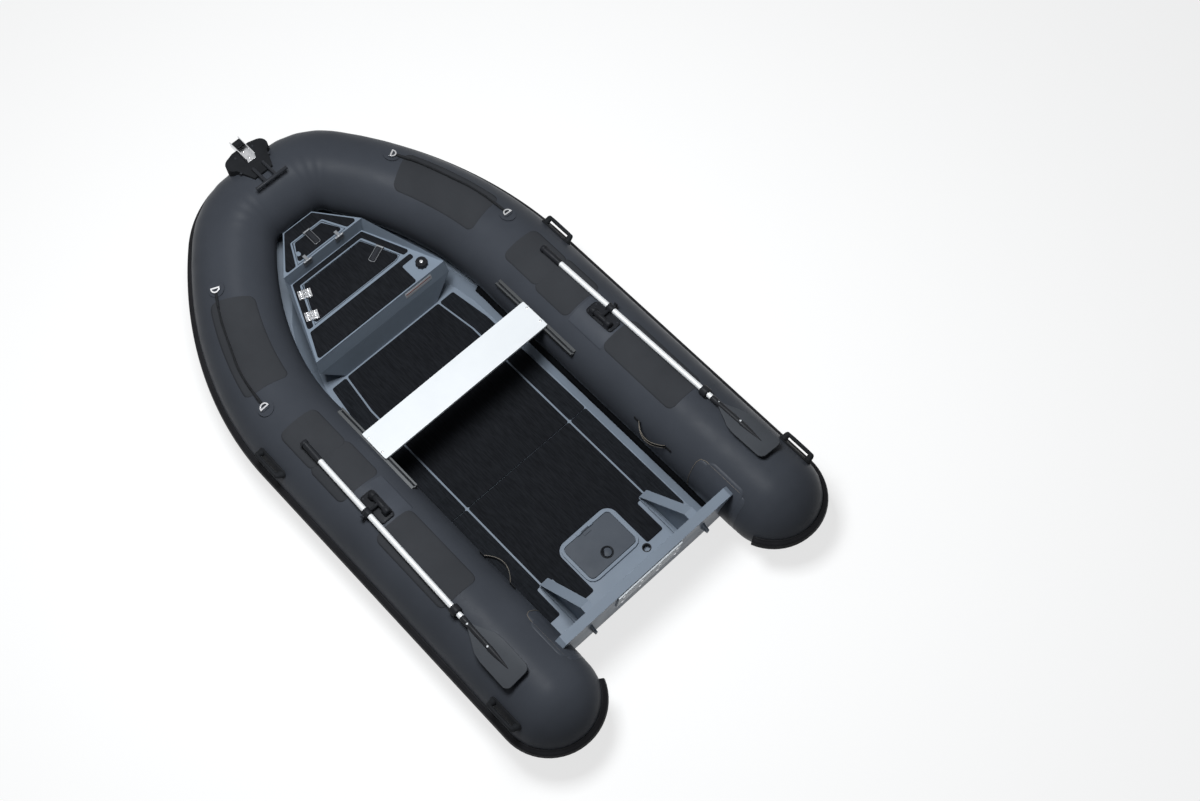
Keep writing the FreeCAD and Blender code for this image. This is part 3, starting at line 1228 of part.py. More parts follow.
# Carrying handles: moulded grips on the tube's outer side
def handle():
    """A grip bar on two feet and a base plate, its length along +X and its back at z = 0."""
    half = dim.handle_length / 2
    base = Part.makeBox(dim.handle_length, dim.handle_width, dim.handle_base_thickness,
                        Vector(-half, -dim.handle_width / 2, 0))
    foot = dim.handle_foot_length
    level = dim.handle_rise - dim.handle_grip_radius
    feet = [Part.makeBox(foot, dim.handle_foot_width, level,
                         Vector(x, -dim.handle_foot_width / 2, 0)) for x in (-half, half - foot)]
    bar = Part.makeCylinder(dim.handle_grip_radius, dim.handle_length - foot,
                            Vector(foot / 2 - half, 0, level), Vector(1, 0, 0))
    return base.fuse(feet + [bar])


handles = []
for x in (dim.handle_fore, dim.handle_aft):
    station = Station(x - dim.cone_start)
    turn = math.radians(dim.handle_angle)
    normal = station.outward() * math.cos(turn) + Vector(0, 0, math.sin(turn))
    grip = handle()
    grip.Placement = Placement(station.skin(dim.handle_angle, dim.fit_gap),
                               Rotation(station.forward(), normal.cross(station.forward()), normal, "XYZ"))
    handles.append(both(grip))
feature("carry_handles", Part.makeCompound(handles))


# Grab loops: webbing on the tubes' inner sides
def grab_loop():
    tube_y = dim.tube_half_beam - dim.tube_radius
    lift = dim.loop_height - dim.tube_axis_height
    skin_y = tube_y - math.sqrt(dim.tube_radius ** 2 - lift ** 2)
    half = dim.loop_web_width / 2
    back = skin_y - dim.fit_gap - lift * half / math.sqrt(dim.tube_radius ** 2 - lift ** 2)
    middle = (dim.loop_fore + dim.loop_aft) / 2
    outer_arc = Part.Arc(Vector(dim.loop_fore, back, 0), Vector(middle, back - dim.loop_reach, 0),
                         Vector(dim.loop_aft, back, 0)).toShape()
    web = dim.loop_web_thickness
    inner_arc = Part.Arc(Vector(dim.loop_aft + web, back, 0), Vector(middle, back - dim.loop_reach + web, 0),
                         Vector(dim.loop_fore - web, back, 0)).toShape()
    tab = dim.loop_tab_length
    tabs = [Part.makeBox(tab, web, 2 * half, Vector(x, back - web, dim.loop_height - half))
            for x in (dim.loop_fore - 2 * web, dim.loop_aft - tab + 2 * web)]
    face = Part.Face(Part.Wire([outer_arc, Part.LineSegment(Vector(dim.loop_aft, back, 0),
                                                            Vector(dim.loop_aft + web, back, 0)).toShape(),
                                inner_arc, Part.LineSegment(Vector(dim.loop_fore - web, back, 0),
                                                            Vector(dim.loop_fore, back, 0)).toShape()]))
    strap = face.extrude(Vector(0, 0, 2 * half))
    strap.translate(Vector(0, 0, dim.loop_height - half))
    return strap.fuse(tabs)


feature("grab_loops", both(grab_loop()))

# Seat: a board that slides fore and aft on two tracks
seat = new_body("seat_board")
item = sketch(seat, "seat_outline", "XY_Plane", "seat_top - seat_thickness")
outline(item, rounded_outline("seat_aft", "seat_aft + seat_depth", "seat_half_length", "seat_corner"))
pad(seat, item, "seat_thickness", "seat_sheet")
sliders = []
for k, side in enumerate(("", "-")):
    item = sketch(seat, "slider_outline_%d" % k, "XY_Plane",
                  "seat_top - seat_thickness - track_slot_depth + slider_clearance")
    middle = "seat_aft + seat_depth / 2"
    inner_edge = "%s(track_slot_offset - track_slot_width / 2 + slider_clearance)" % side
    outer_edge = "%s(track_slot_offset + track_slot_width / 2 - slider_clearance)" % side
    outline(item, [(middle + " - slider_length / 2", inner_edge), (middle + " + slider_length / 2", inner_edge),
                   (middle + " + slider_length / 2", outer_edge), (middle + " - slider_length / 2", outer_edge)])
    sliders.append(pad(seat, item, "track_slot_depth - slider_clearance", "slider_%d" % k))
register(seat, "seat_board")


def seat_track():
    """An extrusion on the tube's inner side, with a slot along its top."""
    top = dim.seat_top - dim.seat_thickness - dim.fit_gap
    length = dim.track_fore - dim.track_aft
    tube_y = dim.tube_half_beam - dim.tube_radius
    block = Part.makeBox(length, tube_y - dim.track_inner, dim.track_height,
                         Vector(dim.track_aft, dim.track_inner, top - dim.track_height))
    skin = Part.makeCylinder(dim.tube_radius + dim.fit_gap, length,
                             Vector(dim.track_aft, tube_y, dim.tube_axis_height), Vector(1, 0, 0))
    slot = Part.makeBox(length, dim.track_slot_width, dim.track_slot_depth,
                        Vector(dim.track_aft, dim.track_slot_offset - dim.track_slot_width / 2,
                               top - dim.track_slot_depth))
    return block.cut([skin, slot])


feature("seat_tracks", both(seat_track()))


# Oars and rowlocks, built for the port side in their own frame and mirrored to starboard
def oar_place(side):
    """The rowlock's place on the tube, with its small yaw."""
    return Placement(Vector(dim.oar_pivot_station, side * dim.oar_pivot_offset, dim.oar_pivot_height),
                     Rotation(Vector(0, 0, 1), -side * dim.oar_yaw))


arm = dim.oar_offset - dim.oar_pivot_offset
oar_drop = dim.oar_height - dim.oar_pivot_height


def local_x(station):
    return station - dim.oar_pivot_station


def oar_line(x):
    return Vector(x, arm, oar_drop)


def rowlock_base():
    """A plate on the tube's crown with two lugs for the trunnion."""
    half = dim.rowlock_length / 2
    tube_y = dim.tube_half_beam - dim.tube_radius - dim.oar_pivot_offset
    crown = dim.tube_axis_height + dim.tube_radius - dim.oar_pivot_height
    plate = Part.makeBox(dim.rowlock_length, dim.rowlock_width, dim.rowlock_plate + dim.overrun / 4,
                         Vector(-half, tube_y - dim.rowlock_width / 2, crown - dim.overrun / 4))
    lugs = []
    for x in (-dim.rowlock_lug_spacing / 2, dim.rowlock_lug_spacing / 2):
        start = x - dim.rowlock_lug_width / 2
        lugs.append(Part.makeCylinder(dim.rowlock_lug_radius, dim.rowlock_lug_width, Vector(start, 0, 0),
                                      Vector(1, 0, 0)))
        lugs.append(Part.makeBox(dim.rowlock_lug_width, 2 * dim.rowlock_lug_radius, -crown,
                                 Vector(start, -dim.rowlock_lug_radius, crown)))
    skin = Part.makeCylinder(dim.tube_radius + dim.fit_gap, dim.bend_start,
                             Vector(-dim.bend_start / 2, tube_y, crown - dim.tube_radius), Vector(1, 0, 0))
    bore = Part.makeCylinder(dim.trunnion_radius + dim.fit_gap / 4, dim.rowlock_length, Vector(-half, 0, 0),
                             Vector(1, 0, 0))
    return plate.fuse(lugs).cut([skin, bore])


def swivel_arm():
    span = dim.rowlock_lug_spacing + dim.rowlock_lug_width
    pin = Part.makeCylinder(dim.trunnion_radius, span, Vector(-span / 2, 0, 0), Vector(1, 0, 0))
    boss_length = dim.rowlock_lug_spacing - dim.rowlock_lug_width - 2 * dim.running_clearance
    boss = Part.makeCylinder(2 * dim.trunnion_radius, boss_length, Vector(-boss_length / 2, 0, 0),
                             Vector(1, 0, 0))
    outer_radius = dim.oar_radius + dim.fit_gap + dim.collar_wall
    end = oar_line(0)
    share = 1 - (outer_radius + dim.fit_gap) / end.Length
    stem = cylinder_between(Vector(0, 0, 0), end * share, 1.3 * dim.trunnion_radius)
    return pin.fuse([boss, stem])


def collar():
    outer_radius = dim.oar_radius + dim.fit_gap + dim.collar_wall
    start = oar_line(-dim.collar_length / 2)
    sleeve = Part.makeCylinder(outer_radius, dim.collar_length, start, Vector(1, 0, 0))
    return sleeve.cut(Part.makeCylinder(dim.oar_radius + dim.fit_gap, dim.collar_length, start, Vector(1, 0, 0)))


def oar_shaft():
    start, end = local_x(dim.oar_ferrule_station), local_x(dim.oar_grip_start)
    return Part.makeCylinder(dim.oar_radius, end - start, oar_line(start), Vector(1, 0, 0))


def oar_grip():
    start, end = local_x(dim.oar_grip_start), local_x(dim.oar_tip)
    sleeve = Part.makeCylinder(dim.grip_oar_radius, end - start, oar_line(start), Vector(1, 0, 0))
    knob = Part.makeCylinder(1.15 * dim.grip_oar_radius, dim.grip_oar_radius,
                             oar_line(end - dim.grip_oar_radius), Vector(1, 0, 0))
    return sleeve.fuse(knob)


def oar_blade():
    """A flat blade with cut corners and a tapering neck up to the shaft."""
    root, end = local_x(dim.blade_root), local_x(dim.blade_end)
    half, cut = dim.blade_width / 2, dim.blade_corner
    thick = dim.blade_thickness
    neck_half = dim.oar_radius
    shoulder = root - dim.blade_width * 0.8
    plan = [Vector(root, neck_half, 0), Vector(shoulder, half, 0), Vector(end + cut, half, 0),
            Vector(end, half - cut, 0)]
    plan += [Vector(p.x, -p.y, 0) for p in reversed(plan)]
    blade = prism(plan, -thick / 2, thick)
    tip = root - dim.neck_length + dim.oar_ferrule_station - dim.blade_root
    neck = Part.makeCone(dim.oar_radius, thick / 2, local_x(dim.oar_ferrule_station) - tip,
                         Vector(local_x(dim.oar_ferrule_station), 0, 0), Vector(-1, 0, 0))
    shape = blade.fuse(neck)
    shape.rotate(Vector(0, 0, 0), Vector(1, 0, 0), -dim.blade_roll)
    shape.translate(oar_line(0))
    return shape


def flipped(shape):
    return shape.mirror(Vector(0, 0, 0), Vector(0, 1, 0))


def sided(shape, side):
    return shape if side == PORT else flipped(shape)


bases = []
for name, side in SIDES:
    base = sided(rowlock_base(), side)
    base.Placement = oar_place(side).multiply(base.Placement)
    bases.append(base)
    feature(name + "_swivel", sided(swivel_arm(), side), oar_place(side))
    feature(name + "_oar_shaft", sided(oar_shaft(), side), oar_place(side))
    feature(name + "_oar_sleeves", sided(Part.makeCompound([collar(), oar_grip()]), side), oar_place(side))
    feature(name + "_oar_blade", sided(oar_blade(), side), oar_place(side))
feature("rowlock_bases", Part.makeCompound(bases))


def oar_clip():
    """An open cradle on the tube under the shaft."""
    x = local_x(dim.clip_station) - dim.clip_length / 2
    inner = dim.oar_radius + dim.clip_side_gap
    outer_half = inner + dim.clip_wall
    tube_y = dim.tube_half_beam - dim.tube_radius - dim.oar_pivot_offset
    crown = dim.tube_axis_height + dim.tube_radius - dim.oar_pivot_height
    bottom = crown - dim.overrun / 2
    block = Part.makeBox(dim.clip_length, 2 * outer_half, oar_drop - bottom, Vector(x, arm - outer_half, bottom))
    seat_cut = Part.makeCylinder(dim.oar_radius + dim.fit_gap, dim.clip_length, oar_line(x), Vector(1, 0, 0))
    channel = Part.makeBox(dim.clip_length, 2 * inner, dim.oar_radius, Vector(x, arm - inner, oar_drop - dim.oar_radius / 2))
    skin = Part.makeCylinder(dim.tube_radius + dim.fit_gap, 2 * dim.bend_start,
                             Vector(-dim.bend_start, tube_y, crown - dim.tube_radius), Vector(1, 0, 0))
    return block.cut([seat_cut, channel, skin])


clips = []
for _, side in SIDES:
    clip = sided(oar_clip(), side)
    clip.Placement = oar_place(side).multiply(clip.Placement)
    clips.append(clip)
feature("oar_clips", Part.makeCompound(clips))

# Check every object, then write one file for each sub-part
doc.recompute()
for item in doc.Objects:
    if "Invalid" in item.State or "Error" in item.State:
        raise RuntimeError("%s did not build: %s" % (item.Label, item.State))
for item in NODES:
    if item.Shape.isNull() or not item.Shape.isValid():
        raise RuntimeError("%s has no valid shape" % item.Label)
for item in NODES:
    item.Shape.exportStep("parts/%s.step" % item.Label)
print("%d nodes" % len(NODES))
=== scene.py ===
"""Rigid inflatable tender, dressed over its construction frame.

Lengths are in metres. +X points to the bow, +Y to port and +Z up, and the
waterline is at zero. Angles on the tube are in degrees, measured in its round
section from the side that faces outboard, up over the top.
"""

import logging
import math
from abc import ABC, abstractmethod
from dataclasses import dataclass
from enum import Enum
from typing import Iterator, Optional, Sequence

import bmesh
import bpy
from mathutils import Matrix, Vector


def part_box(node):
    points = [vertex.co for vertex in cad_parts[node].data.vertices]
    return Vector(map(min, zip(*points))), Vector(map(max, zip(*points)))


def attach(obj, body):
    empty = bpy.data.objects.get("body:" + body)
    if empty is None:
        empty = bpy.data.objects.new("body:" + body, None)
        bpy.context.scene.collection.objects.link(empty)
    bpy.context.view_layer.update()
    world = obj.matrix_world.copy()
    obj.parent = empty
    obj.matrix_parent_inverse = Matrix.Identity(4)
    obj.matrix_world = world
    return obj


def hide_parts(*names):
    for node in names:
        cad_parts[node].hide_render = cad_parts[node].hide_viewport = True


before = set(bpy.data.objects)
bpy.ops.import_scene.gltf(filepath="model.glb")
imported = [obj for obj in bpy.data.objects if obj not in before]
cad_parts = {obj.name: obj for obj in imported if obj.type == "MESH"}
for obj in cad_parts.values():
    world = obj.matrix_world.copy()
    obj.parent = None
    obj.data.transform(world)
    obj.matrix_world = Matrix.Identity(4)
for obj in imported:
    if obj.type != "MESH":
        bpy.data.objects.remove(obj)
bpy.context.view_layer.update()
LOG = logging.getLogger("tender")
Colour = tuple[float, float, float]
Pair = tuple[float, float]
Socket = bpy.types.NodeSocket
CLOUD = (0.3, 0.7)
WELD = 1e-6
SIDE_SHARE = 0.48
TRANSOM_RAKE = math.radians(9.0)
TRACK_OFFSET = 0.451
ORIGIN = Vector((0, 0, 0))
FORWARD = Vector((1, 0, 0))
PORTWARD = Vector((0, 1, 0))
UP = Vector((0, 0, 1))


class Body(Enum):
    """Bodies of the frame that a piece can ride on."""

    BOAT = "boat"
    MAIN_LID = "main_lid"
    FORE_LID = "fore_lid"
    HATCH_LID = "hatch_lid"
    SEAT = "seat"
    PORT_OAR = "port_oar"
    STARBOARD_OAR = "starboard_oar"


class Side(Enum):
    """The two sides of the boat, by the sign of Y."""

    PORT = 1
    STARBOARD = -1

    @property
    def oar(self) -> Body:
        """Body of the oar on this side."""
        return Body.PORT_OAR if self is Side.PORT else Body.STARBOARD_OAR

    @property
    def word(self) -> str:
        """The side's name in lower case."""
        return self.name.lower()


class Nodes:
    """A node tree under construction."""

    def __init__(self, tree: bpy.types.NodeTree) -> None:
        """Take up a tree."""
        self.tree = tree

    def wire(self, source: object, target: Socket) -> None:
        """Link a socket to another, or set a constant on it.

        Args:
            source: an output, or a plain value.
            target: the input that takes it.
        """
        if isinstance(source, bpy.types.NodeSocket):
            self.tree.links.new(source, target)
        else:
            target.default_value = source

    def add(self, kind: str, sockets: Optional[dict[str | int, object]] = None,
            **settings: object) -> bpy.types.Node:
        """Add a node.

        Args:
            kind: type of the node.
            sockets: a link or a constant for each input, by its name or number.
            **settings: plain properties of the node.

        Returns:
            The new node.
        """
        node = self.tree.nodes.new(kind)
        for key, value in settings.items():
            setattr(node, key, value)
        for key, value in (sockets or {}).items():
            self.wire(value, node.inputs[key])
        return node


class Graph(Nodes):
    """A procedural material under construction."""

    def __init__(self, name: str) -> None:
        """Start a material with its surface shader and object coordinates."""
        self.material = bpy.data.materials.new(name)
        self.material.use_nodes = True
        super().__init__(self.material.node_tree)
        self.surface = self.tree.nodes["Principled BSDF"]
        self.place = self.add("ShaderNodeTexCoord").outputs["Object"]

    def mapped(self, scale: Sequence[float]) -> Socket:
        """Object coordinates, stretched."""
        sockets = {"Vector": self.place, "Scale": scale}
        return self.add("ShaderNodeMapping", sockets).outputs["Vector"]

    def noise(self, scale: float, detail: float = 3, vector: Optional[Socket] = None,
              rough: float = 0.55) -> Socket:
        """Cloudy noise between zero and one."""
        sockets = {"Vector": vector or self.place, "Scale": scale, "Detail": detail,
                   "Roughness": rough}
        return self.add("ShaderNodeTexNoise", sockets).outputs["Fac"]

    def cells(self, scale: float) -> Socket:
        """Distance to scattered points, for pits and pebbles."""
        sockets = {"Vector": self.place, "Scale": scale}
        return self.add("ShaderNodeTexVoronoi", sockets, feature="F1").outputs["Distance"]

    def wave(self, scale: float, direction: str, waver: float) -> Socket:
        """Parallel threads."""
        sockets = {"Vector": self.place, "Scale": scale, "Distortion": waver}
        return self.add("ShaderNodeTexWave", sockets, wave_type="BANDS",
                        bands_direction=direction).outputs["Fac"]

    def maths(self, operation: str, first: object, second: object) -> Socket:
        """Combine two values by a named operation."""
        sockets = {0: first, 1: second}
        return self.add("ShaderNodeMath", sockets, operation=operation).outputs["Value"]

    def spread(self, value: Socket, low: float, high: float, start: float = 0.0,
               end: float = 1.0) -> Socket:
        """Carry a value from one range to another, with its ends held."""
        sockets = {"Value": value, "From Min": start, "From Max": end, "To Min": low,
                   "To Max": high}
        return self.add("ShaderNodeMapRange", sockets).outputs["Result"]

    def blend(self, share: Socket, first: object, second: object) -> Socket:
        """Mix two colours, plain or linked, by a share.

        Args:
            share: share of the second colour.
            first: a plain colour, or a linked one.
            second: the other colour.

        Returns:
            The mixed colour.
        """
        first, second = ((*value, 1.0) if isinstance(value, tuple) else value
                         for value in (first, second))
        sockets = {"Factor": share, 6: first, 7: second}
        return self.add("ShaderNodeMix", sockets, data_type="RGBA").outputs[2]

    def relief(self, height: Socket, depth: float, strength: float,
               below: Optional[Socket] = None) -> Socket:
        """A bump of a given depth in metres, over one below it if there is one.

        Args:
            height: pattern of the relief.
            depth: its depth in metres.
            strength: how strongly it shows.
            below: a coarser bump under it.

        Returns:
            The bumped normal.
        """
        sockets = {"Height": height, "Distance": depth, "Strength": strength}
        if below is not None:
            sockets["Normal"] = below
        return self.add("ShaderNodeBump", sockets).outputs["Normal"]


@dataclass(frozen=True)
class Finish(ABC):
    """A finish: its colour, its gloss and the name of a slot."""

    name: str
    slot: str
    colour: Colour
    roughness: float
    metallic: float = 0.0
    mottle: float = 0.25
    mottle_scale: float = 7.0
    gloss_drift: float = 0.08
    grain_depth: float = 0.0001
    shine: float = 0.5

    def shade(self, share: float) -> Colour:
        """The base colour, brighter or darker by a share."""
        return tuple(min(1.0, channel * (1 + share)) for channel in self.colour)

    def tint(self, graph: Graph) -> Socket:
        """Colour with its cloudy drift."""
        cloud = graph.spread(graph.noise(self.mottle_scale, 5), 0.0, 1.0, *CLOUD)
        return graph.blend(cloud, self.shade(-self.mottle), self.shade(self.mottle))

    @abstractmethod
    def normal(self, graph: Graph) -> Socket:
        """Fine relief of the surface."""

    def drifted(self, graph: Graph, cloud: Socket) -> Socket:
        """Roughness that follows a cloud."""
        low, high = self.roughness - self.gloss_drift, self.roughness + self.gloss_drift
        return graph.spread(cloud, low, high, *CLOUD)

    def gloss(self, graph: Graph) -> Socket:
        """Roughness with scuffs and handling."""
        return self.drifted(graph, graph.noise(self.mottle_scale * 3, 6, rough=0.7))

    def build(self) -> bpy.types.Material:
        """Make the material once and reuse it afterwards.

        Returns:
            The material.
        """
        made = bpy.data.materials.get(self.name)
        if made is not None:
            return made
        graph = Graph(self.name)
        surface = graph.surface.inputs
        graph.wire(self.tint(graph), surface["Base Color"])
        graph.wire(self.gloss(graph), surface["Roughness"])
        graph.wire(self.normal(graph), surface["Normal"])
        surface["Metallic"].default_value = self.metallic
        surface["Specular IOR Level"].default_value = self.shine
        return graph.material


@dataclass(frozen=True)
class CoatedFabric(Finish):
    """Rubber coated tube cloth: a faint weave under the coat and broad soft dents."""

    weave_scale: float = 420.0
    dent_depth: float = 0.0012

    def normal(self, graph: Graph) -> Socket:
        """Weave threads one way and the other, over broad dents."""
        dents = graph.relief(graph.noise(5.0, 3), self.dent_depth, 0.7)
        along, across = (graph.wave(self.weave_scale, axis, waver=1.5) for axis in "XY")
        return graph.relief(graph.maths("MAXIMUM", along, across), self.grain_depth, 0.5, dents)


@dataclass(frozen=True)
class PaintedMetal(Finish):
    """Powder paint on aluminium plate: a fine orange peel and rubbed places."""

    peel_scale: float = 260.0
    scuff: Colour = (0.42, 0.46, 0.50)

    def tint(self, graph: Graph) -> Socket:
        """Paint with thin rubbed streaks."""
        paint = super().tint(graph)
        streaks = graph.noise(30.0, 8, graph.mapped((0.25, 3.0, 1.0)), 0.75)
        return graph.blend(graph.spread(streaks, 0.0, 0.5, 0.68, 0.8), paint, self.scuff)

    def normal(self, graph: Graph) -> Socket:
        """Orange peel of sprayed powder."""
        return graph.relief(graph.noise(self.peel_scale, 2), self.grain_depth, 0.8)


@dataclass(frozen=True)
class BrushedFoam(Finish):
    """Closed cell deck foam, brushed across, with a faint grid of routed squares."""

    grid: float = 0.036
    brush_scale: float = 260.0
    groove: float = 0.05
    line_share: float = 0.35

    def lines(self, graph: Graph) -> Socket:
        """Thin lines of the grid, broken where the brush has worn them.

        Args:
            graph: the material under construction.

        Returns:
            How strongly the lines show, up to one.
        """
        split = graph.add("ShaderNodeSeparateXYZ", {"Vector": graph.place})
        made = []
        for axis in "XY":
            steps = graph.maths("DIVIDE", split.outputs[axis], self.grid)
            saw = graph.maths("SUBTRACT", graph.maths("FRACT", steps, 1.0), 0.5)
            far = graph.maths("ABSOLUTE", saw, 0.0)
            made.append(graph.spread(far, 0.0, 1.0, 0.5 - self.groove, 0.5))
        worn = graph.spread(graph.noise(40.0, 4), 0.0, 1.0, 0.42, 0.62)
        return graph.maths("MULTIPLY", graph.maths("MAXIMUM", *made), worn)

    def brushed(self, graph: Graph) -> Socket:
        """Long brush marks."""
        return graph.noise(self.brush_scale, 3, graph.mapped((0.08, 1.0, 1.0)))

    def tint(self, graph: Graph) -> Socket:
        """Dark foam, a little paler along the grid and the brush marks."""
        marks = graph.spread(self.brushed(graph), 0.0, 1.0, 0.35, 0.65)
        base = graph.blend(marks, self.shade(-self.mottle), self.shade(self.mottle))
        share = graph.maths("MULTIPLY", self.lines(graph), self.line_share)
        return graph.blend(share, base, self.shade(1.3))

    def normal(self, graph: Graph) -> Socket:
        """Brush marks and open cells."""
        pores = graph.relief(graph.cells(1500.0), self.grain_depth, 0.6)
        return graph.relief(self.brushed(graph), self.grain_depth * 2, 0.7, pores)


@dataclass(frozen=True)
class BrushedMetal(Finish):
    """Bare metal drawn or brushed along one direction."""

    stretch: tuple[float, float, float] = (0.05, 1.0, 1.0)
    brush_scale: float = 700.0

    def lines(self, graph: Graph, scale: float, detail: float) -> Socket:
        """Long drawn lines."""
        return graph.noise(scale, detail, graph.mapped(self.stretch))

    def normal(self, graph: Graph) -> Socket:
        """Fine drawn lines."""
        return graph.relief(self.lines(graph, self.brush_scale, 3), self.grain_depth, 0.6)

    def gloss(self, graph: Graph) -> Socket:
        """Gloss that follows the drawn lines, with finger marks."""
        return self.drifted(graph, self.lines(graph, self.brush_scale / 2, 4))


@dataclass(frozen=True)
class MouldedPlastic(Finish):
    """Moulded plastic or rubber with a spark eroded grain."""

    pebble_scale: float = 1100.0

    def normal(self, graph: Graph) -> Socket:
        """Pebbled mould grain."""
        return graph.relief(graph.cells(self.pebble_scale), self.grain_depth, 0.7)


@dataclass(frozen=True)
class TwistedYarn(Finish):
    """Filament yarn of a braided rope or a woven strap."""

    strand_scale: float = 1400.0

    def normal(self, graph: Graph) -> Socket:
        """Filaments along the yarn."""
        strands = graph.noise(self.strand_scale, 2, graph.mapped((0.3, 1.0, 1.0)))
        return graph.relief(strands, self.grain_depth, 0.8)


TUBE_CLOTH = CoatedFabric("tube_cloth", "tube_black", (0.050, 0.055, 0.066), 0.40, mottle=0.10,
                          mottle_scale=3.0, grain_depth=0.00003, shine=0.05)
PATCH_CLOTH = CoatedFabric("patch_cloth", "tube_black", (0.044, 0.046, 0.051), 0.80, mottle=0.08,
                           mottle_scale=5.0, grain_depth=0.00004, dent_depth=0.0004, shine=0.02)
SEAM_TAPE = CoatedFabric("seam_tape", "tube_black", (0.055, 0.061, 0.074), 0.36, mottle=0.12,
                         dent_depth=0.0002, grain_depth=0.00003, shine=0.08)
# Near black sheet: painted shade in the crease between the tube and the hull's sides.
CREASE_SHADE_STRIP = CoatedFabric("crease_shade_strip", "tube_black", (0.012, 0.013, 0.015), 0.6, mottle=0.15,
                          dent_depth=0.0002, grain_depth=0.00003, shine=0.03)
GLUE_LINE = MouldedPlastic("glue_line", "tube_black", (0.215, 0.190, 0.160), 0.6, shine=0.2)
STRAKE_RUBBER = MouldedPlastic("strake_rubber", "strake_black", (0.016, 0.016, 0.018), 0.55,
                               grain_depth=0.00003, shine=0.06)
SOFT_RUBBER = MouldedPlastic("rubber_moulding", "soft_rubber", (0.016, 0.017, 0.019), 0.60,
                             grain_depth=0.00002, shine=0.05)
BLACK_PLASTIC = MouldedPlastic("plastic_moulding", "black_plastic", (0.016, 0.017, 0.020), 0.42,
                               grain_depth=0.00002, shine=0.08)
BLADE_PLASTIC = MouldedPlastic("blade_plastic", "black_plastic", (0.070, 0.075, 0.084), 0.50,
                               mottle=0.08, grain_depth=0.00002, shine=0.05)
SPINE_PLASTIC = MouldedPlastic("spine_plastic", "black_plastic", (0.019, 0.020, 0.023), 0.40,
                               mottle=0.08, grain_depth=0.00002, shine=0.10)
HULL_PAINT = PaintedMetal("hull_paint", "hull_grey", (0.215, 0.254, 0.308), 0.42, mottle=0.06,
                          mottle_scale=2.5, grain_depth=0.00004, shine=0.12)
LID_PAINT = PaintedMetal("lid_paint", "hatch_grey", (0.066, 0.076, 0.093), 0.42, mottle=0.08,
                         mottle_scale=4.0, scuff=(0.16, 0.17, 0.19), grain_depth=0.00003,
                         shine=0.10)
DECK_PAINT = PaintedMetal("deck_paint", "lid_grey", (0.225, 0.270, 0.330), 0.42, mottle=0.06,
                          mottle_scale=2.5, grain_depth=0.00004, shine=0.12)
DECK_FOAM = BrushedFoam("deck_foam", "foam_black", (0.0130, 0.0140, 0.0165), 0.85, mottle=0.3,
                        gloss_drift=0.05, grain_depth=0.00008, line_share=0.0, shine=0.03)
SIDE_FOAM = BrushedFoam("side_foam", "foam_black", (0.0140, 0.0155, 0.0185), 0.85, mottle=0.3,
                        gloss_drift=0.05, grain_depth=0.00008, shine=0.03)
SEAT_COAT = PaintedMetal("seat_coat", "white_plate", (0.78, 0.80, 0.82), 0.38, mottle=0.02,
                         mottle_scale=5.0, scuff=(0.62, 0.63, 0.64), grain_depth=0.00005)
PAD_BOARD = MouldedPlastic("pad_board", "white_plate", (0.60, 0.63, 0.66), 0.55, mottle=0.06)
LABEL_PLATE = PaintedMetal("label_plate", "white_plate", (0.47, 0.48, 0.50), 0.45, mottle=0.05,
                           scuff=(0.40, 0.40, 0.40))
LABEL_BAND = PaintedMetal("label_band", "white_plate", (0.30, 0.085, 0.065), 0.5, mottle=0.08,
                          scuff=(0.36, 0.16, 0.14))
STEEL = BrushedMetal("polished_steel", "stainless", (0.66, 0.67, 0.69), 0.22, metallic=1.0,
                     mottle=0.05, grain_depth=0.00003)
OAR_ALUMINIUM = BrushedMetal("oar_aluminium", "bare_aluminium", (0.80, 0.81, 0.82), 0.38,
                             metallic=0.15, mottle=0.03, grain_depth=0.00003)
LATCH_METAL = BrushedMetal("latch_metal", "stainless", (0.240, 0.250, 0.265), 0.40,
                           metallic=0.5, mottle=0.05, grain_depth=0.00003)
TRACK_METAL = BrushedMetal("track_metal", "bare_aluminium", (0.050, 0.053, 0.056), 0.42,
                           metallic=0.5, mottle=0.08, grain_depth=0.00003)
DARK_METAL = PaintedMetal("dark_metal", "black_plastic", (0.026, 0.028, 0.033), 0.42,
                          mottle=0.12, scuff=(0.08, 0.085, 0.09), grain_depth=0.00003,
                          shine=0.10)
ROPE_YARN = TwistedYarn("rope_yarn", "rope", (0.014, 0.015, 0.017), 0.75, mottle=0.3,
                        mottle_scale=60.0, shine=0.15)
STRAP_YARN = TwistedYarn("strap_yarn", "webbing", (0.016, 0.017, 0.019), 0.8, mottle=0.2,
                         mottle_scale=60.0, shine=0.15)


def top_outlines(node: str) -> list[list[Vector]]:
    """Trace the level top faces of a flat node of the frame.

    Args:
        node: name of the node.

    Returns:
        One outline for each plate, with its straight runs merged.
    """
    mesh = bmesh.new()
    mesh.from_mesh(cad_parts[node].data)
    bmesh.ops.remove_doubles(mesh, verts=mesh.verts, dist=1e-5)
    tops = [face for face in mesh.faces if face.normal.z > 0.99]
    follows = {}
    for face in tops:
        for loop in face.loops:
            if sum(near in tops for near in loop.edge.link_faces) == 1:
                follows[loop.vert] = loop.link_loop_next.vert
    made = []
    while follows:
        start = here = next(iter(follows))
        line = []
        while here in follows:
            line.append(here.co.copy())
            here = follows.pop(here)
        if here is start and len(line) > 2:
            made.append(merged(line))
    mesh.free()
    return made


def merged(line: Sequence[Vector]) -> list[Vector]:
    """An outline without the points that lie on its straight runs.

    Args:
        line: points of the outline, in order.

    Returns:
        Its corners.
    """
    kept = []
    for k, point in enumerate(line):
        before, after = point - line[k - 1], line[(k + 1) % len(line)] - point
        if before.length > 1e-6 and before.normalized().dot(after.normalized()) < 0.9999:
            kept.append(point)
    return kept


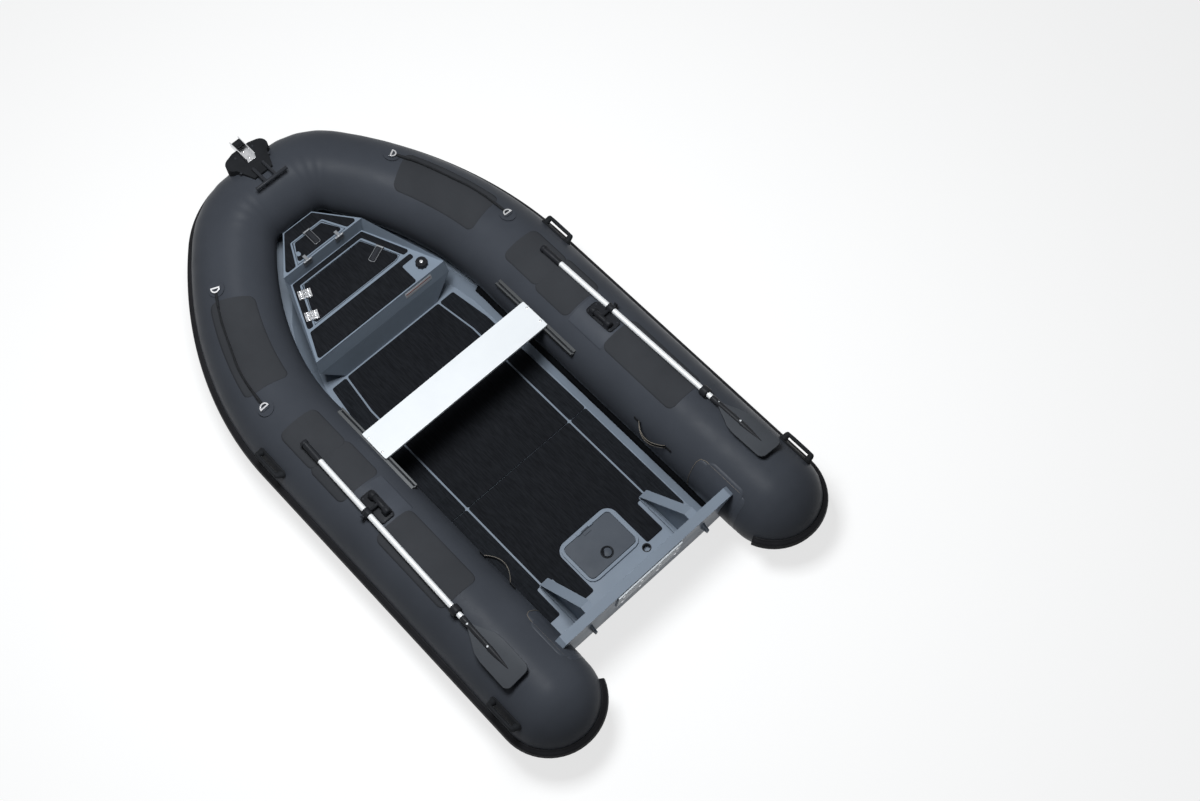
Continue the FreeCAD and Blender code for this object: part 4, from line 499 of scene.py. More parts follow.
def rounded(corners: Sequence[Vector], radius: float, steps: int = 5) -> list[Vector]:
    """Round an outline's corners, inner and outer ones alike.

    Args:
        corners: corners in order.
        radius: radius of each round, kept to less than half of a short side.
        steps: chords in each round.

    Returns:
        The rounded outline.
    """
    made = []
    for k, corner in enumerate(corners):
        back, ahead = corners[k - 1] - corner, corners[(k + 1) % len(corners)] - corner
        half_turn = back.angle(ahead) / 2
        run = min(radius / math.tan(half_turn), SIDE_SHARE * back.length, SIDE_SHARE * ahead.length)
        girth = max(run * math.tan(half_turn), 1e-5)
        back.normalize()
        ahead.normalize()
        centre = corner + (back + ahead).normalized() * (girth / math.sin(half_turn))
        start, end = corner + back * run - centre, corner + ahead * run - centre
        for j in range(steps + 1):
            made.append(centre + start.lerp(end, j / steps).normalized() * girth)
    return made


def soft_plan(plan: Sequence[tuple[float, float, float]], steps: int = 6) -> list[Vector]:
    """Round each corner of a plan by its own radius.

    Args:
        plan: X, Y and radius of each corner.
        steps: chords in each round.

    Returns:
        The rounded outline.
    """
    corners = [Vector((x, y, 0)) for x, y, _ in plan]
    made = []
    for k, (_, _, radius) in enumerate(plan):
        trio = [corners[k - 1], corners[k], corners[(k + 1) % len(corners)]]
        made += rounded(trio, radius, steps)[steps + 1:2 * steps + 2]
    return made


def rectangle(length: float, width: float, centre: Pair = (0.0, 0.0)) -> list[Vector]:
    """Corners of a flat rectangle about a centre."""
    x, y = centre
    return [Vector((x + length / 2 * i, y + width / 2 * j, 0))
            for i, j in ((-1, -1), (1, -1), (1, 1), (-1, 1))]


def soft_rectangle(length: float, width: float, radius: float, centre: Pair = (0.0, 0.0),
                   steps: int = 5) -> list[Vector]:
    """A flat rectangle with round corners."""
    return rounded(rectangle(length, width, centre), radius, steps)


def raised(outline: Sequence[Vector], height: float) -> list[Vector]:
    """An outline brought to one height."""
    return [Vector((point.x, point.y, height)) for point in outline]


def turns(count: int) -> Iterator[Pair]:
    """Cosine and sine of even steps round a full turn."""
    for k in range(count):
        turn = 2 * math.pi * k / count
        yield math.cos(turn), math.sin(turn)


def seated(origin: Vector, ahead: Vector, normal: Vector) -> Matrix:
    """A frame at a point, with its X ahead and its Z along a normal.

    Args:
        origin: the point.
        ahead: direction of X, made square to the normal.
        normal: direction of Z.

    Returns:
        The frame.
    """
    up = normal.normalized()
    along = (ahead - up * ahead.dot(up)).normalized()
    turn = Matrix((along, up.cross(along), up)).transposed()
    return Matrix.Translation(origin) @ turn.to_4x4()


def spun(origin: Sequence[float], turn: float) -> Matrix:
    """A frame at a point, turned about the upright."""
    return Matrix.Translation(origin) @ Matrix.Rotation(turn, 4, "Z")


def linked(name: str, data: bpy.types.ID) -> bpy.types.Object:
    """Make an object of its data and link it in the scene.

    Args:
        name: name of the object.
        data: its mesh, curve, light or camera.

    Returns:
        The new object.
    """
    made = bpy.data.objects.new(name, data)
    bpy.context.scene.collection.objects.link(made)
    return made


class Shape:
    """A growing list of corners and faces for one piece."""

    def __init__(self, place: Optional[Matrix] = None) -> None:
        """Start with nothing, in a frame of its own if one is given."""
        self.points: list[Vector] = []
        self.faces: list[tuple[int, ...]] = []
        self.place = Matrix.Identity(4) if place is None else place

    def rings(self, rings: Sequence[Sequence[Vector]], closed: bool = True,
              caps: bool = True) -> None:
        """Join rings of equal count into a skin.

        Args:
            rings: rings of points, in order.
            closed: whether each ring closes on itself.
            caps: whether flat faces close the first and last ring.
        """
        first = len(self.points)
        count = len(rings[0])
        for ring in rings:
            self.points.extend(self.place @ point for point in ring)
        span = count if closed else count - 1
        for row in range(len(rings) - 1):
            for k in range(span):
                near = first + row * count + k
                after = first + row * count + (k + 1) % count
                self.faces.append((near, after, after + count, near + count))
        if caps and closed:
            last = first + (len(rings) - 1) * count
            self.faces.append(tuple(range(first, first + count)))
            self.faces.append(tuple(range(last + count - 1, last - 1, -1)))

    def tube(self, path: Sequence[Vector], radius: float | Sequence[float],
             sides: int = 12) -> None:
        """A round bar along a path.

        Args:
            path: points of its axis.
            radius: one radius, or one for each point.
            sides: flats round the bar.
        """
        radii = [radius] * len(path) if isinstance(radius, (int, float)) else list(radius)
        side = None
        rings = []
        for k, point in enumerate(path):
            ahead = (path[min(k + 1, len(path) - 1)] - path[max(k - 1, 0)]).normalized()
            if side is None:
                side = ahead.orthogonal().normalized()
            side = (side - ahead * side.dot(ahead)).normalized()
            other = ahead.cross(side)
            rings.append([point + side * radii[k] * cosine + other * radii[k] * sine
                          for cosine, sine in turns(sides)])
        self.rings(rings)

    def hoop(self, outline: Sequence[Vector], radius: float, sides: int = 8) -> None:
        """A round bar that goes once round an outline."""
        self.tube([*outline, outline[0]], radius, sides)

    def turned(self, centre: Vector, axis: Vector, profile: Sequence[Pair],
               sides: int = 24) -> None:
        """A turned form.

        Args:
            centre: where its axis starts.
            axis: direction of its axis.
            profile: radius and height of each ring.
            sides: flats round the form.
        """
        axis = axis.normalized()
        side = axis.orthogonal().normalized()
        other = axis.cross(side)
        self.rings([[centre + axis * height + side * radius * cosine + other * radius * sine
                     for cosine, sine in turns(sides)] for radius, height in profile])

    def plate(self, outline: Sequence[Vector], low: float, high: float,
              edge: float = 0.0) -> None:
        """A level plate of any outline, with its top edge eased.

        Args:
            outline: corners in order.
            low: height of its underside.
            high: height of its top.
            edge: width of the eased edge.
        """
        after = [*outline[1:], outline[0]]
        hand = 1 if sum(a.x * b.y - a.y * b.x for a, b in zip(outline, after)) > 0 else -1

        def inset(share: float, height: float) -> list[Vector]:
            """The outline at a height, drawn in by a share of the eased edge."""
            reach = hand * edge * share
            made = []
            for k, point in enumerate(outline):
                way = (after[k] - outline[k - 1]).normalized()
                made.append(Vector((point.x - way.y * reach, point.y + way.x * reach, height)))
            return made

        levels = [(0.0, low), (0.0, high)]
        if edge:
            levels[1:] = [(0.0, high - edge), (0.3, high - 0.3 * edge), (1.0, high)]
        self.rings([inset(share, height) for share, height in levels])

    def dome(self, centre: Vector, radius: float, height: float, normal: Vector = UP) -> None:
        """A round screw head or boss that stands on a surface."""
        profile = [(radius, -height * 0.3), (radius, height * 0.35),
                   (radius * 0.86, height * 0.78), (radius * 0.5, height * 0.97),
                   (radius * 0.12, height)]
        self.turned(centre, normal, profile, 16)

    def put(self, name: str, finish: Finish, body: Body) -> bpy.types.Object:
        """Turn the shape into a piece that rides on a body.

        Args:
            name: name of the piece.
            finish: finish of its whole surface.
            body: body that carries it.

        Returns:
            The new object.
        """
        mesh = bpy.data.meshes.new(name)
        mesh.from_pydata([tuple(point) for point in self.points], [], self.faces)
        welded = bmesh.new()
        welded.from_mesh(mesh)
        bmesh.ops.remove_doubles(welded, verts=welded.verts, dist=WELD)
        bmesh.ops.recalc_face_normals(welded, faces=welded.faces)
        welded.to_mesh(mesh)
        welded.free()
        for polygon in mesh.polygons:
            polygon.use_smooth = True
        piece = linked(name, mesh)
        mesh.materials.append(finish.build())
        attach(piece, body.value)
        LOG.info("piece %s on %s: %d faces", name, body.value, len(mesh.polygons))
        return piece

    def fit(self, name: str, finish: Finish, body: Body, node: str = "") -> None:
        """Make the piece in its finish, in place of a node if one is named.

        Args:
            name: name of the piece.
            finish: finish of its whole surface.
            body: body that carries it.
            node: node of the frame that it stands for.
        """
        piece = self.put(name, finish, body)
        if node:
            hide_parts(node)


def dress(node: str, finish: Finish, edge: float) -> None:
    """Give a node of the frame its finish and soft edges.

    Args:
        node: name of the node.
        finish: finish of its whole surface.
        edge: width of its rounded edges, or zero for none.
    """
    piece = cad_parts[node]
    for slot in piece.material_slots:
        slot.link = "OBJECT"
        slot.material = finish.build()
    if edge:
        weld = piece.modifiers.new("weld", "WELD")
        weld.merge_threshold = 0.00002
        bevel = piece.modifiers.new("bevel", "BEVEL")
        bevel.width = edge
        bevel.segments = 2
        bevel.limit_method = "ANGLE"
        bevel.angle_limit = math.radians(35.0)
        bevel.harden_normals = True


@dataclass
class Ring:
    """One round section of the tube."""

    centre: Vector
    outward: Vector
    forward: Vector
    radius: float

    def way(self, angle: float) -> Vector:
        """Direction square to the skin at an angle in degrees."""
        turn = math.radians(angle)
        return self.outward * math.cos(turn) + UP * math.sin(turn)

    def at(self, angle: float, gap: float = 0.0) -> Vector:
        """A point on or above the skin at an angle in degrees."""
        return self.centre + self.way(angle) * (self.radius + gap)

    def mirrored(self) -> "Ring":
        """The same section on the other side, for the strake's own order."""
        flip = Vector((1, -1, 1))
        return Ring(self.centre * flip, self.outward * flip, self.forward, self.radius)


@dataclass
class TubeLine:
    """Line of the buoyancy tube: a straight side, a long bend, a corner and a flat bow."""

    radius: float = 0.212
    bow_radius: float = 0.177
    half_beam: float = 0.8485
    axis_height: float = 0.200
    cone_start: float = -0.093
    bend_start: float = 1.484
    bend_radius: float = 1.468
    bend_angle: float = math.radians(45.1)
    corner_radius: float = 0.452
    sheer_start: float = 1.545
    sheer_rise: float = 0.182
    steps: tuple[int, int, int, int, int] = (16, 28, 44, 18, 4)

    def __post_init__(self) -> None:
        """Work out the lengths of the runs and the corner's centre."""
        hub = self.bend_radius - self.corner_radius
        self.corner_x = self.bend_start + hub * math.sin(self.bend_angle)
        self.corner_y = self.half_beam - self.bend_radius + hub * math.cos(self.bend_angle)
        self.straight = self.bend_start - self.cone_start
        self.bend = self.bend_radius * self.bend_angle
        self.corner = self.corner_radius * (math.pi / 2 - self.bend_angle)
        self.half = self.straight + self.bend + self.corner + self.corner_y

    def ring(self, along: float, side: Side) -> Ring:
        """The section at a length along one side.

        Args:
            along: length forward of the cone's start.
            side: side of the boat.

        Returns:
            The section.
        """
        past = along - self.straight
        if past <= 0:
            heading, edge = 0.0, Vector((self.cone_start + along, self.half_beam, 0))
        elif past <= self.bend:
            heading = past / self.bend_radius
            centre = Vector((self.bend_start, self.half_beam - self.bend_radius, 0))
            edge = centre + self.spoke(heading) * self.bend_radius
        elif past <= self.bend + self.corner:
            heading = self.bend_angle + (past - self.bend) / self.corner_radius
            centre = Vector((self.corner_x, self.corner_y, 0))
            edge = centre + self.spoke(heading) * self.corner_radius
        else:
            heading = math.pi / 2
            edge = Vector((self.corner_x + self.corner_radius, self.half - along, 0))
        share = max(0.0, past / (self.half - self.straight))
        radius = self.radius + (self.bow_radius - self.radius) * share
        place = edge - self.spoke(heading) * radius
        bow = self.corner_x + self.corner_radius - self.bow_radius
        rise = max(0.0, (place.x - self.sheer_start) / (bow - self.sheer_start))
        place.z = self.axis_height + self.sheer_rise * rise ** 2
        flip = Vector((1, side.value, 1))
        forward = Vector((math.cos(heading), -math.sin(heading), 0))
        return Ring(place * flip, self.spoke(heading) * flip, forward * flip, radius)

    @staticmethod
    def spoke(heading: float) -> Vector:
        """Direction outboard on the port side at a heading."""
        return Vector((math.sin(heading), math.cos(heading), 0))

    def seat(self, along: float, side: Side, angle: float) -> Matrix:
        """A frame on the skin, X forward along the tube and Z square to the skin."""
        ring = self.ring(along, side)
        return seated(ring.at(angle), ring.forward, ring.way(angle))

    def skin(self, along: float, side: Side, angle: float, gap: float = 0.0) -> Vector:
        """A point on the skin.

        Args:
            along: length forward of the cone's start, below zero on the cone itself.
            side: side of the boat.
            angle: angle in the section, in degrees.
            gap: height above the skin.

        Returns:
            The point.
        """
        if along >= 0:
            return self.ring(along, side).at(angle, gap)
        start = self.ring(0, side)
        tilt = -along / self.radius
        way = start.way(angle) * math.cos(tilt) - start.forward * math.sin(tilt)
        return start.centre + way * (self.radius + gap)

    def places(self) -> list[float]:
        """Lengths of the sections of one side, close together where it bends.

        Returns:
            The lengths, below zero on the cone.
        """
        cone, straight, bend, corner, bow = self.steps
        tip = -self.radius * math.pi / 2
        made = [tip * (1 - k / cone) for k in range(1, cone)]
        made += [self.straight * k / straight for k in range(straight + 1)]
        made += [self.straight + self.bend * k / bend for k in range(1, bend + 1)]
        turned = self.straight + self.bend
        made += [turned + self.corner * k / corner for k in range(1, corner + 1)]
        return made + [self.half - self.corner_y * (1 - k / bow) for k in range(1, bow + 1)]


LINE = TubeLine()


@dataclass(frozen=True)
class Patch:
    """A sheet bonded to the tube, with round corners.

    Its start and end are lengths along the tube, and its low and high edges
    are angles in degrees.
    """

    start: float
    end: float
    low: float
    high: float
    corner: float
    height: float
    across: int = 22
    corner_steps: int = 6
    row_length: float = 0.03

    def rows(self) -> list[float]:
        """Lengths of its cross rows, close together in the round corners.

        Returns:
            The lengths, from its start to its end.
        """
        inset = [self.corner * (1 - math.cos(math.pi / 2 * k / self.corner_steps))
                 for k in range(self.corner_steps + 1)]
        run = self.end - self.start - 2 * self.corner
        count = max(2, int(run / self.row_length))
        made = [self.start + step for step in inset]
        made += [self.start + self.corner + run * k / count for k in range(1, count)]
        return made + [self.end - step for step in reversed(inset)]

    def skirt(self, row: Sequence[Vector], along: float, side: Side) -> list[Vector]:
        """A row let down under the skin at a length, to close one end.

        Args:
            row: the sheet's first or last row.
            along: length along the tube where it goes under.
            side: side of the boat.

        Returns:
            The lowered row.
        """
        ring = LINE.ring(max(along, 0.0), side)
        made = []
        for point in row:
            way = point - ring.centre
            angle = math.degrees(math.atan2(way.z, way.dot(ring.outward)))
            angle = angle if angle > -90 else angle + 360
            made.append(LINE.skin(along, side, angle, -self.height))
        return made

    def lay(self, shape: Shape, side: Side) -> None:
        """Add the sheet to a shape, on one side of the boat.

        Args:
            shape: the shape it is added to.
            side: side of the boat.
        """
        girth = LINE.ring(max(self.start, 0.0), side).radius
        half = math.radians(self.high - self.low) * girth / 2
        middle = (self.low + self.high) / 2
        rows = self.rows()
        grid = []
        for along in rows:
            inside = min(along - self.start, self.end - along)
            short = max(0.0, self.corner - inside)
            width = half - self.corner + math.sqrt(max(0.0, self.corner ** 2 - short ** 2))
            reach = width + self.height
            line = [(width * (2 * k / self.across - 1), self.height)
                    for k in range(self.across + 1)]
            grid.append([LINE.skin(along, side, middle + math.degrees(offset / girth), gap)
                         for offset, gap in [(-reach, -self.height), *line,
                                             (reach, -self.height)]])
        grid.insert(0, self.skirt(grid[0], rows[0] - self.height, side))
        grid.append(self.skirt(grid[-1], rows[-1] + self.height, side))
        shape.rings(grid, closed=False, caps=False)


@dataclass
class BuoyancyTube:
    """The inflated tube with its seams, patches and rub strake."""

    sides: int = 80
    seam_half_width: float = 0.014
    seam_height: float = 0.0012
    cap_seam: float = -0.085
    dent: float = 0.0011
    ripple_pitch: float = 9.0
    ripple_share: float = 0.35
    pinch_start: float = 2.3
    pinch_pitch: float = 61.0
    pinch_share: float = 0.9
    strake_half: float = 0.034
    strake_depth: float = 0.024
    strake_lip: float = 0.007
    strake_wrap: float = math.radians(158.0)
    strake_rib: float = 0.0012
    wrap_steps: int = 26
    patches: tuple[Patch, ...] = (
        Patch(1.836, 2.350, 60.0, 121.0, 0.035, 0.0016),
        Patch(1.362, 1.586, 64.0, 118.0, 0.032, 0.00224),
        Patch(1.160, 1.376, 62.0, 121.0, 0.032, 0.0016),
        Patch(0.522, 0.948, 63.0, 117.0, 0.032, 0.00224))
    flaps: tuple[Patch, ...] = (
        Patch(0.045, 0.250, 126.0, 205.0, 0.030, 0.0022),
        Patch(0.020, 0.290, 133.0, 205.0, 0.020, 0.0012),
        Patch(0.945, 1.148, 74.0, 121.0, 0.006, 0.0010))
    glue_path: tuple[Pair, ...] = (
        (0.296, 196.0), (0.296, 140.0), (0.2858, 133.6), (0.262, 131.0), (0.030, 131.0))
    glue_radius: float = 0.0011
    glue_lift: float = 0.0012
    # Where the strip of painted shade runs: along the tube, and up and down from its lower inner
    # side.
    shade_strip_ends: Pair = (0.180, 1.745)
    shade_strip_steps: int = 60
    shade_strip_rise: float = 0.006
    shade_strip_drop: float = 0.031
    shade_strip_height: float = 0.0028
    shade_strip_angle: float = 214.0
    side_slope: float = math.tan(math.radians(42.0))

    def swell(self, along: float, angle: float, side: Side) -> float:
        """How far the skin stands off its true round: seams and slight dents.

        Args:
            along: length forward of the cone's start.
            angle: angle in the section, in degrees.
            side: side of the boat.

        Returns:
            The height, which is zero where the two sides meet.
        """
        if along >= LINE.half - 0.001:
            return 0.0
        turn = math.radians(angle)
        seam = self.seam_height if abs(along - self.cap_seam) < self.seam_half_width else 0.0
        ripple = math.sin(along * self.ripple_pitch + side.value)
        ripple *= math.sin(turn * 3 + along * 5.0)
        bow = max(0.0, (along - self.pinch_start) / (LINE.half - self.pinch_start))
        pinch = math.sin(along * self.pinch_pitch) * math.sin(turn * 2 + 0.6) * bow
        return seam + self.dent * (self.ripple_share * ripple + self.pinch_share * pinch)

    def build_skin(self) -> None:
        """The closed skin from one cone round the bow to the other."""
        places = LINE.places()
        stations = [(along, Side.PORT) for along in places]
        stations += [(along, Side.STARBOARD) for along in reversed(places[:-1])]
        angles = [360 * k / self.sides for k in range(self.sides)]
        rings = [[LINE.skin(along, side, angle, self.swell(along, angle, side))
                  for angle in angles] for along, side in stations]
        shape = Shape()
        shape.rings(rings, caps=False)
        for row, side in ((0, Side.PORT), (len(rings) - 1, Side.STARBOARD)):
            pole = len(shape.points)
            shape.points.append(LINE.skin(-LINE.radius * math.pi / 2, side, 0))
            first = row * self.sides
            shape.faces += [(first + k, first + (k + 1) % self.sides, pole)
                            for k in range(self.sides)]
        shape.fit("tube_skin", TUBE_CLOTH, Body.BOAT, "buoyancy_tube")

    def build_sheets(self, name: str, sheets: Sequence[Patch], finish: Finish) -> None:
        """Bonded sheets, the same on both sides.

        Args:
            name: name of the piece.
            sheets: the sheets of one side.
            finish: their finish.
        """
        shape = Shape()
        for side in Side:
            for sheet in sheets:
                sheet.lay(shape, side)
        shape.fit(name, finish, Body.BOAT)

    def build_glue(self) -> None:
        """A bead of glue round each transom flap."""
        shape = Shape()
        for side in Side:
            line = []
            for (along, angle), (after, turn) in zip(self.glue_path, self.glue_path[1:]):
                line += [LINE.skin(along + (after - along) * k / 8, side,
                                   angle + (turn - angle) * k / 8, self.glue_lift)
                         for k in range(8)]
            shape.tube(line, self.glue_radius, 6)
        shape.fit("flap_glue_lines", GLUE_LINE, Body.BOAT)

    def build_crease_shade(self) -> None:
        """A near black strip from the tube's lower inner side onto the hull's sloping sides:
        painted shade in the crease where the tube meets the hull.
        """
        shape = Shape()
        start, end = self.shade_strip_ends
        for side in Side:
            lift = Vector((0, -side.value, self.side_slope)).normalized() * self.shade_strip_height
            slant = Vector((0, side.value * self.side_slope, 1))
            rings = []
            for k in range(self.shade_strip_steps + 1):
                along = start + (end - start) * k / self.shade_strip_steps
                edge = LINE.ring(along, side).at(self.shade_strip_angle)
                top, foot = edge + slant * self.shade_strip_rise, edge - slant * self.shade_strip_drop
                rings.append([top - lift, top + lift, foot + lift, foot - lift * 0.5])
            shape.rings(rings)
        shape.fit("crease_shade_strips", CREASE_SHADE_STRIP, Body.BOAT)

    def strake_ring(self, ring: Ring) -> list[Vector]:
        """Section of the rub strake: a flange, two fine ribs and a round nose.

        Args:
            ring: section of the tube that carries it.

        Returns:
            Points of the strake's section.
        """
        half, lip, depth = self.strake_half, self.strake_lip, self.strake_depth
        flange = [(half, -0.004), (half, lip - 0.003), (half - 0.002, lip - 0.001)]
        outline = [(-up, out) for up, out in flange]
        for k in range(13):
            turn = math.pi * (k / 12 - 0.5)
            out = lip + (depth - lip - 0.001) * math.cos(turn)
            outline.append(((half - 0.006) * math.sin(turn),
                            out + self.strake_rib * math.cos(turn * 8)))
        made = []
        for up, out in outline + flange[::-1]:
            foot = math.sqrt(ring.radius ** 2 - up ** 2)
            reach = foot + max(out, -0.002) + (ring.radius - foot) * max(0.0, out) / depth
            made.append(ring.centre + ring.outward * reach + UP * up)
        return made

    def build_strake(self) -> None:
        """The rub strake from behind one cone round the bow to the other."""
        start = LINE.ring(0, Side.PORT)
        port = []
        for k in range(self.wrap_steps, 0, -1):
            turn = self.strake_wrap * k / self.wrap_steps
            outward = Vector((-math.sin(turn), math.cos(turn), 0))
            forward = Vector((math.cos(turn), math.sin(turn), 0))
            port.append(Ring(start.centre, outward, forward, start.radius))
        port += [LINE.ring(along, Side.PORT) for along in LINE.places() if along >= 0]
        starboard = [ring.mirrored() for ring in reversed(port[:-1])]
        shape = Shape()
        shape.rings([self.strake_ring(ring) for ring in port + starboard])
        shape.fit("strake_band", STRAKE_RUBBER, Body.BOAT, "rub_strake")

    def build(self) -> None:
        """Make every piece of the tube."""
        self.build_skin()
        self.build_sheets("chafe_patches", self.patches, PATCH_CLOTH)
        self.build_sheets("transom_flaps", self.flaps, SEAM_TAPE)
        self.build_glue()
        self.build_crease_shade()
        self.build_strake()


@dataclass
class Lifelines:
    """The short ropes between the D-rings on each side of the bow."""

    diameter: float = 0.010
    length: float = 0.5691
    points: tuple[tuple[float, float, float], ...] = (
        (1.6508, 0.6908, 0.4134), (1.7454, 0.6821, 0.4141), (1.8450, 0.6650, 0.4170),
        (1.9360, 0.6300, 0.4300), (2.0230, 0.5970, 0.4425), (2.1054, 0.5608, 0.4583),
        (2.1806, 0.5144, 0.4752))
    strands: int = 8
    lay_length: float = 0.036
    yarn: float = 0.0012
    splice: float = 0.075
    splice_step: float = 0.004
    splice_swell: float = 0.0016

    def route(self, side: Side) -> bpy.types.Object:
        """The rope's own smooth curve.

        Args:
            side: side of the boat.

        Returns:
            The curve, without a thickness.
        """
        data = bpy.data.curves.new(f"lifeline_{side.word}_core", "CURVE")
        data.dimensions = "3D"
        spline = data.splines.new("NURBS")
        spline.points.add(len(self.points) - 1)
        for point, (x, y, z) in zip(spline.points, self.points):
            point.co = (x, y * side.value, z, 1)
        spline.order_u = 3
        spline.use_endpoint_u = True
        spline.resolution_u = 12
        data.resolution_u = 12
        return linked(data.name, data)

    @staticmethod
    def trace(curve: bpy.types.Object) -> list[Vector]:
        """Points along the curve, read from its own spline.

        Args:
            curve: the rope's curve, without a thickness.

        Returns:
            The points, in order.
        """
        bpy.context.view_layer.update()
        graph = bpy.context.evaluated_depsgraph_get()
        mesh = bpy.data.meshes.new_from_object(curve.evaluated_get(graph))
        made = [vertex.co.copy() for vertex in mesh.vertices]
        bpy.data.meshes.remove(mesh)
        return made

    @staticmethod
    def spaced(path: Sequence[Vector], step: float) -> list[tuple[Vector, Vector, float]]:
        """Even points along a path.

        Args:
            path: points of the path.
            step: length between two of the even points, about.

        Returns:
            Each point with its direction and its length along the path.
        """
        marks = [0.0]
        for before, after in zip(path, path[1:]):
            marks.append(marks[-1] + (after - before).length)
        count = max(2, round(marks[-1] / step))
        made = []
        for k in range(count + 1):
            goal = marks[-1] * k / count
            row = max(i for i in range(len(marks) - 1) if marks[i] <= goal + 1e-9)
            share = (goal - marks[row]) / max(marks[row + 1] - marks[row], 1e-9)
            before, after = path[row], path[row + 1]
            made.append((before.lerp(after, share), (after - before).normalized(), goal))
        return made

    def braid(self, path: Sequence[Vector], side: Side) -> bpy.types.Object:
        """Yarns that cross over and under each other round the core.

        Args:
            path: points of the rope's axis.
            side: side of the boat.

        Returns:
            The piece.
        """
        shape = Shape()
        core = self.diameter / 2 - self.yarn
        for strand in range(self.strands):
            hand = 1 if strand % 2 else -1
            across = None
            line = []
            for point, ahead, along in self.spaced(path, self.lay_length / 12):
                across = ahead.orthogonal() if across is None else across
                across = (across - ahead * across.dot(ahead)).normalized()
                turn = 2 * math.pi * (hand * along / self.lay_length + strand / self.strands)
                weave = 0.0004 * math.cos(4 * turn * hand + math.pi * (strand % 2))
                spoke = across * math.cos(turn) + ahead.cross(across) * math.sin(turn)
                line.append(point + spoke * (core + weave))
            shape.tube(line, self.yarn, 6)
        return shape.put(f"lifeline_{side.word}_braid", ROPE_YARN, Body.BOAT)

    def splices(self, path: Sequence[Vector], side: Side) -> bpy.types.Object:
        """The swollen spliced end at each D-ring.

        Args:
            path: points of the rope's axis.
            side: side of the boat.

        Returns:
            The piece.
        """
        shape = Shape()
        ends = self.spaced(path, self.splice_step)
        count = int(self.splice / self.splice_step)
        radii = [self.diameter / 2 + self.splice_swell * math.sin(math.pi * (k + 1) / count) ** 0.5
                 for k in range(count)]
        for part in (ends, ends[::-1]):
            shape.tube([point for point, _, _ in part[:count]], radii, 14)
        return shape.put(f"lifeline_{side.word}_splices", ROPE_YARN, Body.BOAT)

    def build(self) -> None:
        """Both lifelines, each with its braid and its spliced ends."""
        for side in Side:
            core = self.route(side)
            path = self.trace(core)
            core.data.bevel_depth = self.diameter / 2 - 0.0008
            core.data.bevel_resolution = 3
            core.data.use_fill_caps = True
            core.data.materials.append(ROPE_YARN.build())
            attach(core, Body.BOAT.value)
            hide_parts("lifeline_" + side.word)
            dressing = [self.braid(path, side), self.splices(path, side)]
            exit_point = Vector(self.points[0])
            exit_point.y *= side.value


@dataclass
class FoamSheets:
    """Deck foam laid over the frame's flat pads, with round corners and eased edges."""

    corner: float = 0.010
    edge: float = 0.0014
    thickness: float = 0.005
    sheets: tuple[tuple[str, str, Finish, Body], ...] = (
        ("deck_pads", "deck_sheets", DECK_FOAM, Body.BOAT),
        ("side_pads", "side_sheets", SIDE_FOAM, Body.BOAT),
        ("locker_foam", "locker_sheets", DECK_FOAM, Body.BOAT),
        ("main_lid_foam", "main_lid_sheet", DECK_FOAM, Body.MAIN_LID),
        ("fore_lid_foam", "fore_lid_sheet", DECK_FOAM, Body.FORE_LID))
    hatch_corner: Pair = (0.423, 0.157)
    hatch_radius: float = 0.052
    tab_place: Pair = (2.1665, 0.101)
    tab_length: float = 0.026
    tab_width: float = 0.020

    def radius(self, corner: Vector) -> float:
        """Radius of one corner: wider where the sheet follows the hatch.

        Args:
            corner: corner of the pad.

        Returns:
            The radius.
        """
        x, y = self.hatch_corner
        near = max(abs(corner.x - x), abs(abs(corner.y) - y)) < self.thickness
        return self.hatch_radius if near else self.corner

    def build(self) -> None:
        """Cut every sheet to the outline of the pad that it covers, and add the lid's tab."""
        for node, name, finish, body in self.sheets:
            shape = Shape()
            for outline in top_outlines(node):
                top = outline[0].z
                plan = soft_plan([(point.x, point.y, self.radius(point)) for point in outline])
                shape.plate(plan, top - self.thickness, top, self.edge)
            shape.fit(name, finish, body, node)
        tab = Shape()
        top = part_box("fore_lid_foam")[1][2]
        outline = soft_rectangle(self.tab_length, self.tab_width, self.tab_width * SIDE_SHARE,
                                 self.tab_place)
        tab.plate(outline, top - self.edge, top + 0.0006, 0.0003)
        tab.fit("fore_lid_tab", DECK_PAINT, Body.FORE_LID)


